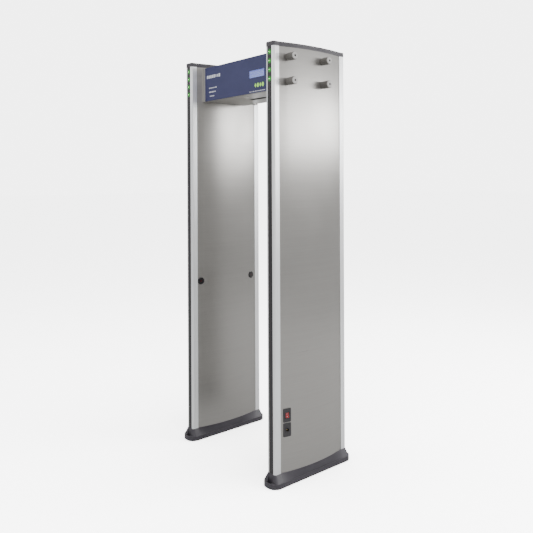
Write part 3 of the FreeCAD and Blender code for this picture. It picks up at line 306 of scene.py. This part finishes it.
zinc, *_ = worked_metal(
    "zinc_plate", (0.50, 0.50, 0.48), (0.68, 0.68, 0.65), 0.22, 0.36, (900.0, 900.0, 900.0), 0.5, 0.00004)
dress(zinc, "floor_bushes", "foot_screws", "cap_screws", "clamp_tubes", "clamp_studs", "hinge_pins")

# ---------------------------------------------------------------- edge profiles
# Four satin-anodised aluminium extrusions, one at each upright edge of a panel. The die leaves fine
# lines along their length, and shallow flutes run down their side walls.

aluminium, tree, shader, grain = worked_metal(
    "anodised_aluminium", (0.85, 0.86, 0.87), (0.93, 0.94, 0.95), 0.34, 0.42,
    (700.0, 700.0, 5.0), 0.35, 0.00001, 0.2, 0.0, 5.0, 0.7)
across = tree.nodes.new("ShaderNodeSeparateXYZ")
tree.links.new(object_place(tree), across.inputs[0])
flute_pitch = 0.0095
flutes = combine(tree, combine(tree, across.outputs["Y"], 2 * math.pi / flute_pitch), 0.6, "ADD")
ridge = between(tree, combine(tree, flutes, 0, "SINE"), 0, 1, 0.55, 0.95)
roughen(tree, shader, combine(tree, ridge, combine(tree, grain["Height"], 0.12), "ADD"), 0.0005, 0.5)
dress(aluminium, "left_front_profile", "left_rear_profile", "right_front_profile", "right_rear_profile")

# ---------------------------------------------------------------- skins
# Four sheets of stainless steel, rolled to a shallow curve and slid into the extrusions. The sheet is
# brushed level, so light spreads up and down it, and hands leave faint duller patches.

steel, tree, shader, grain = worked_metal(
    "brushed_steel_skin", (0.32, 0.310, 0.296), (0.37, 0.360, 0.344), 0.27, 0.31,
    (60.0, 8.0, 1500.0), 0.30, 0.000004,
    0.6, 0.0, 2.6, 0.72)
dress(steel, "left_inner_skin", "left_outer_skin", "right_inner_skin", "right_outer_skin")

# ---------------------------------------------------------------- light strips and lamps
# Black extruded plastic strips snap into the front and rear channels of the profiles. Near the top of
# each front strip four green signal lamps with domed lenses look out; their light on the strip round them is
# painted on as a green glow in the strip's own material.

strip_finish, *_ = moulded_plastic(
    "strip_plastic", (0.014, 0.012, 0.015), (0.022, 0.020, 0.024), 0.34, 0.44, 500.0, 0.00006, 0.1)
dress(strip_finish, "left_rear_strip", "right_rear_strip")

strip_with_painted_glow, tree, shader, *_ = moulded_plastic(
    "lit_strip_plastic", (0.014, 0.012, 0.015), (0.022, 0.020, 0.024), 0.34, 0.44, 500.0, 0.00006, 0.1)
low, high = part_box("right_lamps")
lamp_radius = (high.x - low.x) / 2
lamp_pitch = (high.z - low.z - 2 * lamp_radius) / 3
around = tree.nodes.new("ShaderNodeSeparateXYZ")
tree.links.new(object_place(tree), around.inputs[0])
aside = combine(tree, combine(tree, around.outputs["X"], 0, "ABSOLUTE"), (low.x + high.x) / 2, "SUBTRACT")
below = combine(
    tree, combine(tree, high.z - lamp_radius, around.outputs["Z"], "SUBTRACT"), lamp_pitch, "DIVIDE")
nearest = combine(tree, combine(tree, combine(tree, below, 0, "ROUND"), 0.0, "MAXIMUM"), 3.0, "MINIMUM")
upright = combine(tree, combine(tree, below, nearest, "SUBTRACT"), lamp_pitch)
distance = combine(
    tree, combine(tree, combine(tree, aside, 2, "POWER"), combine(tree, upright, 2, "POWER"), "ADD"), 0.5,
    "POWER")
# painted light: the strip plastic glows green round each lamp, a painted stand-in for the lamps' light falling on
# it
painted_glow_reach = 0.022
painted_lamp_glow = combine(tree, between(tree, distance, 1, 0, lamp_radius * 0.9, painted_glow_reach), 2.5, "POWER")
shader.inputs["Emission Color"].default_value = (0.01, 0.7, 0.02, 1)
tree.links.new(combine(tree, painted_lamp_glow, 0.7), shader.inputs["Emission Strength"])
dress(strip_with_painted_glow, "left_front_strip", "right_front_strip")


def circuit_board(name):
    """Green lacquered board with a faint pattern of tracks under the lacquer."""
    finish, tree, shader = new_finish(name, 0.0, Coat_Weight=0.5, Coat_Roughness=0.15)
    tracks = tree.nodes.new("ShaderNodeTexBrick")
    tracks.inputs["Scale"].default_value = 120
    tracks.inputs["Mortar Size"].default_value = 0.06
    turned = tree.nodes.new("ShaderNodeMapping")
    turned.inputs["Rotation"].default_value = (math.radians(90), 0, 0)
    tree.links.new(object_place(tree), turned.inputs["Vector"])
    tree.links.new(turned.outputs[0], tracks.inputs["Vector"])
    tree.links.new(
        tint(tree, tracks.outputs["Fac"], (0.02, 0.14, 0.06), (0.05, 0.26, 0.10)), shader.inputs["Base Color"])
    tree.links.new(
        between(tree, noise(tree, object_place(tree), 40.0, 3), 0.3, 0.5), shader.inputs["Roughness"])
    return finish


dress(circuit_board("lacquered_board"), "left_lamp_board", "right_lamp_board", "main_board")


def builder_tree(name, sizes):
    """An empty Geometry Nodes tree with a named input for each size."""
    tree = bpy.data.node_groups.new(name, "GeometryNodeTree")
    kinds = {int: "NodeSocketInt", float: "NodeSocketFloat", tuple: "NodeSocketVector"}
    for label, value in sizes.items():
        tree.interface.new_socket(label, in_out="INPUT", socket_type=kinds[type(value)]).default_value = value
    tree.interface.new_socket("Geometry", in_out="OUTPUT", socket_type="NodeSocketGeometry")
    return tree, tree.nodes.new("NodeGroupInput").outputs, tree.nodes.new("NodeGroupOutput").inputs


def step(tree, kind, settings=None, **wires):
    """A node of one kind, with its sockets joined or set by label."""
    node = tree.nodes.new(kind)
    for name, value in (settings or {}).items():
        setattr(node, name, value)
    for label, value in wires.items():
        socket = node.inputs[int(label[1:])] if label[0] == "_" else node.inputs[label.replace("_", " ")]
        if isinstance(value, bpy.types.NodeSocket):
            tree.links.new(value, socket)
        else:
            socket.default_value = value
    return node.outputs


def close_tree(tree, geometry, finish, put):
    real = step(tree, "GeometryNodeRealizeInstances", Geometry=geometry)
    done = step(tree, "GeometryNodeSetMaterial", Geometry=real[0], Material=finish)
    tree.links.new(done[0], put["Geometry"])


def grown(name, tree, body, slot_name, **sizes):
    """Runs a tree with these sizes and leaves its result as one plain mesh on a body."""
    piece = bpy.data.objects.new(name, bpy.data.meshes.new(name))
    scene.collection.objects.link(piece)
    modifier = piece.modifiers.new("build", "NODES")
    modifier.node_group = tree
    for item in tree.interface.items_tree:
        if item.in_out == "INPUT" and item.name.replace(" ", "_") in sizes:
            modifier[item.identifier] = sizes[item.name.replace(" ", "_")]
    graph = bpy.context.evaluated_depsgraph_get()
    mesh = bpy.data.meshes.new_from_object(
        piece.evaluated_get(graph), preserve_all_data_layers=True, depsgraph=graph)
    piece.modifiers.clear()
    piece.data = mesh
    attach(piece, body)
    return piece


lamp_lens, tree, shader = new_finish(
    "lamp_lens", 0.0, Roughness=0.3, Emission_Strength=7.0, Specular_IOR_Level=0.2)
apex = tree.nodes.new("ShaderNodeAttribute")
apex.attribute_name = "apex"
mottle = combine(tree, noise(tree, object_place(tree), 900.0, 2), 0.15)
hot = between(tree, combine(tree, apex.outputs["Fac"], mottle, "ADD"), 0, 1, 0.66, 1.0)
tree.links.new(tint(tree, hot, (0.001, 0.075, 0.002), (1.0, 1.0, 0.7)), shader.inputs["Emission Color"])
tree.links.new(tint(tree, hot, (0.01, 0.16, 0.02), (0.5, 0.8, 0.4)), shader.inputs["Base Color"])

column, given, put = builder_tree(
    "lamp_column", {"Count": 4, "Top": (0.0, 0.0, 2.0), "Pitch": 0.045, "Radius": 0.005, "Stem": 0.0055})
drop = step(
    column, "ShaderNodeCombineXYZ",
    Z=step(column, "ShaderNodeMath", {"operation": "MULTIPLY"}, _0=given["Pitch"], _1=-1.0)[0])
line = step(
    column, "GeometryNodeMeshLine", {"mode": "OFFSET"}, Count=given["Count"], Start_Location=given["Top"],
    Offset=drop[0])
dome = step(column, "GeometryNodeMeshUVSphere", Segments=36, Rings=20, Radius=given["Radius"])
half_stem = step(column, "ShaderNodeMath", {"operation": "MULTIPLY"}, _0=given["Stem"], _1=0.5)
tube = step(column, "GeometryNodeMeshCylinder", Vertices=36, Radius=given["Radius"], Depth=given["Stem"])
back = step(column, "ShaderNodeCombineXYZ", Y=half_stem[0])
tube = step(
    column, "GeometryNodeTransform", Geometry=tube[0], Translation=back[0], Rotation=(math.radians(90), 0, 0))
lens_shape = step(column, "GeometryNodeJoinGeometry", Geometry=dome[0])
column.links.new(tube[0], lens_shape[0].node.inputs[0])
spot = step(column, "GeometryNodeInputPosition")
sideways = step(column, "ShaderNodeVectorMath", {"operation": "MULTIPLY"}, _0=spot[0], _1=(1, 0, 1))
away = step(column, "ShaderNodeVectorMath", {"operation": "LENGTH"}, _0=sideways[0])
share = step(column, "ShaderNodeMath", {"operation": "DIVIDE"}, _0=away["Value"], _1=given["Radius"])
centre = step(column, "ShaderNodeMath", {"operation": "SUBTRACT"}, _0=1.0, _1=share[0])
marked = step(
    column, "GeometryNodeStoreNamedAttribute", {"data_type": "FLOAT", "domain": "POINT"},
    Geometry=lens_shape[0], Name="apex", Value=centre[0])
smooth = step(column, "GeometryNodeSetShadeSmooth", Geometry=marked[0])
lamps = step(column, "GeometryNodeInstanceOnPoints", Points=line[0], Instance=smooth[0])
close_tree(column, lamps[0], lamp_lens, put)
for side in ("left", "right"):
    low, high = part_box(f"{side}_lamps")
    radius = (high.x - low.x) / 2
    top = ((low.x + high.x) / 2, low.y + radius, high.z - radius)
    lamp_row = grown(f"{side}_lamp_lenses", column, "root", "lamp_green", Count=4, Top=top, Radius=radius,
                     Pitch=(high.z - low.z - 2 * radius) / 3, Stem=high.y - low.y - radius)
    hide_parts(f"{side}_lamps")

# ---------------------------------------------------------------- top caps
# Moulded caps in the same black plastic close the panels, each held by four screws. Dust settles on
# their flat tops, and a groove round the side hides the joint line.

cap_finish, *_ = moulded_plastic(
    "cap_plastic", (0.046, 0.042, 0.050), (0.064, 0.060, 0.068), 0.34, 0.46, 700.0, 0.0002, 0.5)
dress(cap_finish, "left_top_cap", "right_top_cap")

# ---------------------------------------------------------------- coils
# Inside each panel a stiff fibre board carries five flat coils of lacquered copper wire: transmit
# coils on the left and receive coils on the right. None of it shows while the panel is closed.

fibre, tree, shader = new_finish("fibre_board", 0.0, Specular_IOR_Level=0.3)
flake = use(tree, worked, Stretch=(300.0, 300.0, 90.0), Streaks=0.5)
tree.links.new(tint(tree, flake["Tone"], (0.40, 0.32, 0.22), (0.62, 0.54, 0.40)), shader.inputs["Base Color"])
tree.links.new(between(tree, flake["Tone"], 0.6, 0.85), shader.inputs["Roughness"])
roughen(tree, shader, flake["Height"], 0.0003)
dress(fibre, "left_coil_board", "right_coil_board")

copper, tree, shader, grain = worked_metal(
    "lacquered_copper", (0.55, 0.24, 0.12), (0.80, 0.42, 0.24), 0.2, 0.34,
    (30.0, 1400.0, 1400.0), 0.3, 0.0002)
shader.inputs["Coat Weight"].default_value = 0.6
dress(copper, "transmit_coils", "receive_coils")

# ---------------------------------------------------------------- clamp knobs
# Eight ribbed hand knobs in grey plastic on plated studs clamp the control unit between the panels.
# Each has a paler press-fitted end disc with a hexagon recess; the shade in the recess is painted as a dark round
# patch on the disc.

knob_finish, *_ = moulded_plastic(
    "knob_plastic", (0.10, 0.094, 0.086), (0.14, 0.132, 0.122), 0.42, 0.55, 1100.0, 0.00012, 0.25)
dress(knob_finish, "clamp_knobs")
disc_finish, tree, shader, body, mask = moulded_plastic(
    "knob_disc", (0.38, 0.372, 0.357), (0.46, 0.45, 0.435), 0.34, 0.45, 1100.0, 0.00006, 0.1)
low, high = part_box("knob_caps")
disc_radius = 0.0175
spot = tree.nodes.new("ShaderNodeSeparateXYZ")
tree.links.new(object_place(tree), spot.inputs[0])
offsets = []
for axis, start, end in (("Y", low.y, high.y), ("Z", low.z, high.z)):
    from_middle = combine(
        tree, combine(tree, spot.outputs[axis], (start + end) / 2, "SUBTRACT"), 0, "ABSOLUTE")
    from_disc = combine(tree, from_middle, (end - start) / 2 - disc_radius, "SUBTRACT")
    offsets.append(combine(tree, from_disc, 2, "POWER"))
from_centre = combine(tree, combine(tree, offsets[0], offsets[1], "ADD"), 0.5, "POWER")
# painted shade: a near-black round patch at the disc's centre stands in for the shade inside the hexagon recess
recess_painted_shade = between(tree, from_centre, 1, 0, 0.0054, 0.0060)
tree.links.new(tint(tree, recess_painted_shade, body, (0.012, 0.012, 0.013)), shader.inputs["Base Color"])
dress(disc_finish, "knob_caps")

# ---------------------------------------------------------------- beam sensors
# Round black bezels at hip height on the passage side, two on each panel, with a dark red infrared
# window set in the middle of each.

bezel_finish, *_ = moulded_plastic(
    "bezel_plastic", (0.012, 0.012, 0.013), (0.022, 0.021, 0.023), 0.2, 0.34, 900.0, 0.00005, 0.15)
dress(bezel_finish, "left_beam_sensors", "right_beam_sensors", "rocker_frame")
filter_finish, tree, shader = new_finish("infrared_window", 0.0, Coat_Weight=0.8, Coat_Roughness=0.05)
haze = use(tree, moulded, Fineness=400.0)
tree.links.new(
    tint(tree, haze["Cloud"], (0.020, 0.004, 0.006), (0.045, 0.008, 0.010)), shader.inputs["Base Color"])
tree.links.new(between(tree, haze["Cloud"], 0.08, 0.2), shader.inputs["Roughness"])
dress(filter_finish, "beam_windows")

# ---------------------------------------------------------------- control unit
# A folded case of brushed stainless sheet between two end cheeks, with a dark blue painted control
# face. The paint is satin with a slight orange peel.

case_finish, *_ = worked_metal(
    "brushed_steel_case", (0.42, 0.41, 0.39), (0.52, 0.51, 0.49), 0.28, 0.36,
    (24.0, 900.0, 900.0), 0.35, 0.00003, 0.5, 0.0, 7.0)
dress(case_finish, "control_case", "hatch")
# painted highlight: the cheeks are the same steel as the case, given a lighter copy of its finish that paints on
# the bright reflection their fronts catch
cheek_finish_painted_bright, *_ = worked_metal(
    "brushed_steel_cheek", (0.56, 0.55, 0.54), (0.68, 0.67, 0.66), 0.3, 0.4,
    (900.0, 900.0, 24.0), 0.35, 0.00003, 0.3, 0.0, 7.0)
dress(cheek_finish_painted_bright, "left_cheek", "right_cheek")

blue, tree, shader = new_finish("blue_paint", 0.0, Specular_IOR_Level=0.35)
peel = use(tree, moulded, Fineness=260.0)
film = tint(tree, between(tree, peel["Cloud"], 0, 1, 0.3, 0.7), (0.030, 0.034, 0.105), (0.038, 0.042, 0.122))
tree.links.new(
    tint(tree, use(tree, dust, Amount=0.3)["Mask"], film, (0.35, 0.35, 0.38)), shader.inputs["Base Color"])
tree.links.new(between(tree, peel["Cloud"], 0.36, 0.48), shader.inputs["Roughness"])
roughen(tree, shader, peel["Height"], 0.00012)
dress(blue, "control_face")

# ---------------------------------------------------------------- printed marks
# Screen-printed pale marks on the control face: a wide title bar broken into blocks, three short
# lines below it and one long line of dashes under the keys. The film of ink stands 0.1 mm proud.

ink, tree, shader = new_finish("pale_ink", 0.0)
wearing = use(tree, moulded, Fineness=1500.0)
tree.links.new(
    tint(tree, wearing["Height"], (0.62, 0.63, 0.70), (0.80, 0.81, 0.86)), shader.inputs["Base Color"])
tree.links.new(between(tree, wearing["Cloud"], 0.45, 0.6), shader.inputs["Roughness"])
roughen(tree, shader, wearing["Height"], 0.00003)

dashes, given, put = builder_tree(
    "printed_dashes",
    {"Start": (0.0, 0.0, 0.0), "Length": 0.1, "Height": 0.006, "Count": 8, "Film": 0.0001, "Slope": 0.0, "Seed": 1})
gap = step(dashes, "ShaderNodeMath", {"operation": "DIVIDE"}, _0=given["Length"], _1=given["Count"])
run = step(dashes, "ShaderNodeCombineXYZ", X=gap[0], Z=given["Slope"])
row = step(
    dashes, "GeometryNodeMeshLine", {"mode": "OFFSET"}, Count=given["Count"], Start_Location=given["Start"],
    Offset=run[0])
size = step(dashes, "ShaderNodeCombineXYZ", X=gap[0], Y=given["Film"], Z=given["Height"])
block = step(dashes, "GeometryNodeMeshCube", Size=size[0])
width = step(dashes, "FunctionNodeRandomValue", {"data_type": "FLOAT"}, _2=0.45, _3=0.86, Seed=given["Seed"])
tall = step(dashes, "FunctionNodeRandomValue", {"data_type": "FLOAT"}, _2=0.72, _3=1.0, Seed=given["Seed"])
shape = step(dashes, "ShaderNodeCombineXYZ", X=width[1], Y=1.0, Z=tall[1])
printed = step(dashes, "GeometryNodeInstanceOnPoints", Points=row[0], Instance=block[0], Scale=shape[0])
close_tree(dashes, printed[0], ink, put)

low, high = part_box("control_face")
film_y = low.y - 0.00005
for number, (from_left, above, length, height, count) in enumerate((
        (0.026, 0.141, 0.138, 0.019, 8), (0.044, 0.074, 0.080, 0.0075, 9),
        (0.044, 0.050, 0.072, 0.0075, 8), (0.053, 0.026, 0.050, 0.0075, 5),
        (0.433, 0.008, 0.136, 0.0050, 17))):
    grown(f"printed_line_{number + 1}", dashes, "root", "face_blue",
          Start=(low.x + from_left, film_y, low.z + above),
          Length=length, Height=height, Count=count, Film=0.0001, Seed=number + 3)

# ---------------------------------------------------------------- display
# A blue backlit dot-matrix module behind a clear acrylic window. Lit dots form four rows of plain
# character cells, and the backlight is a little brighter along the lower edge.

backlight, tree, shader = new_finish("backlit_screen", 0.0, Roughness=0.3, Emission_Strength=0.55)
shine = tree.nodes.new("ShaderNodeSeparateXYZ")
tree.links.new(object_place(tree), shine.inputs[0])
low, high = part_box("display_module")
rising = between(tree, shine.outputs["Z"], 1, 0, low.z, high.z)
uneven = combine(tree, rising, combine(tree, noise(tree, object_place(tree), 30.0, 2), 0.4), "ADD")
tree.links.new(
    tint(tree, between(tree, uneven, 0, 1, 0.1, 1.2), (0.12, 0.15, 0.80), (0.20, 0.30, 1.0)),
    shader.inputs["Emission Color"])
tree.links.new(tint(tree, uneven, (0.10, 0.12, 0.40), (0.16, 0.20, 0.50)), shader.inputs["Base Color"])
dress(backlight, "display_module")

dot_finish, tree, shader = new_finish("lit_dots", 0.0, Roughness=0.4, Emission_Strength=0.5)
flicker = noise(tree, object_place(tree), 300.0, 2)
tree.links.new(tint(tree, flicker, (0.50, 0.62, 0.98), (0.75, 0.85, 1.0)), shader.inputs["Emission Color"])
tree.links.new(tint(tree, flicker, (0.4, 0.5, 0.8), (0.6, 0.7, 0.9)), shader.inputs["Base Color"])

matrix, given, put = builder_tree(
    "dot_matrix",
    {"Centre": (0.0, 0.0, 0.0), "Width": 0.1, "Height": 0.03, "Columns": 72, "Rows": 27, "Dot": 0.0011, "Seed": 5})
grid = step(
    matrix, "GeometryNodeMeshGrid", Size_X=given["Width"], Size_Y=given["Height"],
    Vertices_X=given["Columns"], Vertices_Y=given["Rows"])
upright = step(
    matrix, "GeometryNodeTransform", Geometry=grid[0], Translation=given["Centre"],
    Rotation=(math.radians(90), 0, 0))
number = step(matrix, "GeometryNodeInputIndex")
column_at = step(matrix, "ShaderNodeMath", {"operation": "DIVIDE"}, _0=number[0], _1=given["Rows"])
column_at = step(matrix, "ShaderNodeMath", {"operation": "FLOOR"}, _0=column_at[0])
row_at = step(matrix, "ShaderNodeMath", {"operation": "MODULO"}, _0=number[0], _1=given["Rows"])
in_cell = step(matrix, "ShaderNodeMath", {"operation": "MODULO"}, _0=column_at[0], _1=6.0)
in_row = step(matrix, "ShaderNodeMath", {"operation": "MODULO"}, _0=row_at[0], _1=7.0)
cell_ok = step(
    matrix, "FunctionNodeCompare", {"data_type": "FLOAT", "operation": "LESS_THAN"}, _0=in_cell[0], _1=4.5)
row_ok = step(
    matrix, "FunctionNodeCompare", {"data_type": "FLOAT", "operation": "LESS_THAN"}, _0=in_row[0], _1=4.5)
chance = step(
    matrix, "FunctionNodeRandomValue", {"data_type": "BOOLEAN"}, Probability=0.5, Seed=given["Seed"])
lit = step(matrix, "FunctionNodeBooleanMath", {"operation": "AND"}, _0=cell_ok[0], _1=row_ok[0])
lit = step(matrix, "FunctionNodeBooleanMath", {"operation": "AND"}, _0=lit[0], _1=chance[3])
flat_dot = step(matrix, "ShaderNodeCombineXYZ", X=given["Dot"], Y=0.0001, Z=given["Dot"])
dot = step(matrix, "GeometryNodeMeshCube", Size=flat_dot[0])
dots = step(matrix, "GeometryNodeInstanceOnPoints", Points=upright[0], Selection=lit[0], Instance=dot[0])
close_tree(matrix, dots[0], dot_finish, put)
pane_low, pane_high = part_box("display_window")
middle = ((pane_low.x + pane_high.x) / 2, low.y - 0.0002, (pane_low.z + pane_high.z) / 2)
grown(
    "display_dots", matrix, "root", "screen", Centre=middle, Width=0.112, Height=0.032, Columns=74, Rows=28,
    Dot=0.0011, Seed=5)

pane, tree, shader = new_finish("clear_window", 0.0, Transmission_Weight=1.0, IOR=1.49)
film = use(tree, handled, Size=60.0)["Smudge"]
tree.links.new(between(tree, film, 0.02, 0.10), shader.inputs["Roughness"])
tree.links.new(tint(tree, film, (0.97, 0.98, 1.0), (0.90, 0.92, 0.95)), shader.inputs["Base Color"])
dress(pane, "display_window")

# ---------------------------------------------------------------- keys
# Four lime-green silicone-coated keys, lozenge and oval in turn, press against a grey rubber mat.
# The main board hangs behind on four posts, with a sounder at its back.

# painted glow: the keys' own lime colour also goes to a faint emission, so they glow though they hold no lamp
lime, tree, shader = new_finish("lime_keys", 0.0, Subsurface_Weight=0.1, Emission_Strength=0.22)
rubbed = use(tree, moulded, Fineness=1400.0)
lime_with_painted_glow = tint(tree, rubbed["Cloud"], (0.36, 0.80, 0.10), (0.50, 0.92, 0.18))
tree.links.new(lime_with_painted_glow, shader.inputs["Base Color"])
tree.links.new(lime_with_painted_glow, shader.inputs["Emission Color"])
tree.links.new(between(tree, rubbed["Height"], 0.42, 0.6), shader.inputs["Roughness"])
roughen(tree, shader, rubbed["Height"], 0.00008)
dress(lime, "key_1", "key_2", "key_3", "key_4")

rubber_finish, *_ = moulded_plastic(
    "mat_rubber", (0.13, 0.13, 0.135), (0.19, 0.19, 0.20), 0.7, 0.85, 600.0, 0.0002, 0.3)
dress(rubber_finish, "key_mat")
pale_plastic, *_ = moulded_plastic(
    "pale_plastic", (0.66, 0.66, 0.64), (0.76, 0.76, 0.74), 0.45, 0.6, 600.0, 0.0001, 0.3)
dress(pale_plastic, "board_posts", "power_supply")
black_finish, *_ = moulded_plastic(
    "plate_plastic", (0.020, 0.019, 0.021), (0.034, 0.032, 0.035), 0.38, 0.52, 900.0, 0.00016, 0.2)
dress(black_finish, "sounder", "switch_plate", "inlet_plate", "inlet_socket", "plate_rivets")

# ---------------------------------------------------------------- hatch lock
# The service hatch under the unit swings down once its quarter-turn lock is open. The lock barrel is
# plated and polished brighter than the sheet round it.

bright, *_ = worked_metal(
    "polished_plate", (0.90, 0.90, 0.88), (0.96, 0.96, 0.94), 0.16, 0.24, (900.0, 900.0, 900.0), 0.4, 0.00002)
dress(bright, "hatch_lock")

# ---------------------------------------------------------------- power plates
# Low on the outer right-hand skin a red rocker switch and a round low-voltage socket sit in two black
# plates, riveted at the corners. The rocker is tinted plastic and carries a bar and a ring.

# painted glow: the rocker's own red also goes to a faint emission, which lifts its brightness
red, tree, shader = new_finish(
    "red_rocker", 0.0, Coat_Weight=0.5, Coat_Roughness=0.12, Emission_Strength=0.08)
depth = use(tree, moulded, Fineness=900.0)
scarlet_with_painted_glow = tint(tree, depth["Cloud"], (0.22, 0.008, 0.010), (0.30, 0.013, 0.014))
tree.links.new(scarlet_with_painted_glow, shader.inputs["Base Color"])
tree.links.new(scarlet_with_painted_glow, shader.inputs["Emission Color"])
tree.links.new(between(tree, depth["Cloud"], 0.18, 0.3), shader.inputs["Roughness"])
roughen(tree, shader, depth["Height"], 0.00003)
dress(red, "rocker")

brass, *_ = worked_metal(
    "contact_brass", (0.66, 0.48, 0.20), (0.84, 0.64, 0.30), 0.16, 0.3, (900.0, 900.0, 900.0), 0.4, 0.00002)
dress(brass, "inlet_contact")


def on_rocker(height_share):
    """The point and outward direction on the rocker's face at a share of its height."""
    low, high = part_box("rocker")
    start = Vector((high.x + 0.02, (low.y + high.y) / 2 - 0.002, low.z + (high.z - low.z) * height_share))
    hit, spot, outward, _ = nodes["rocker"].ray_cast(start, Vector((-1, 0, 0)))
    return spot, outward


def raised_mark(name, points, faces, height_share):
    spot, outward = on_rocker(height_share)
    piece = plain_mesh(name, points, faces)
    turn = outward.to_track_quat("X", "Z").to_matrix().to_4x4()
    piece.data.transform(Matrix.Translation(spot + outward * 0.00004) @ turn)
    piece.data.materials.append(ink)
    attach(piece, "rocker")
    return piece


def ring_mesh(outer, inner, thickness, count):
    """A flat ring about the X axis: four circles of points joined by four bands."""
    points, faces = [], []
    for x, radius in ((0, inner), (0, outer), (thickness, outer), (thickness, inner)):
        points += [(x, radius * math.cos(2 * math.pi * k / count), radius * math.sin(2 * math.pi * k / count))
                   for k in range(count)]
    for band in range(4):
        for k in range(count):
            first, second = band * count, (band + 1) % 4 * count
            faces.append((first + k, first + (k + 1) % count, second + (k + 1) % count, second + k))
    return points, faces


points, faces = ring_mesh(0.0024, 0.0017, 0.0001, 32)
raised_mark("off_mark", points, faces, 0.27)
bar = [(x, y, z) for x in (0, 0.0001) for y in (-0.0004, 0.0004) for z in (-0.0024, 0.0024)]
raised_mark(
    "on_mark", bar, [(0, 1, 3, 2), (4, 6, 7, 5), (0, 4, 5, 1), (2, 3, 7, 6), (0, 2, 6, 4), (1, 5, 7, 3)], 0.73)
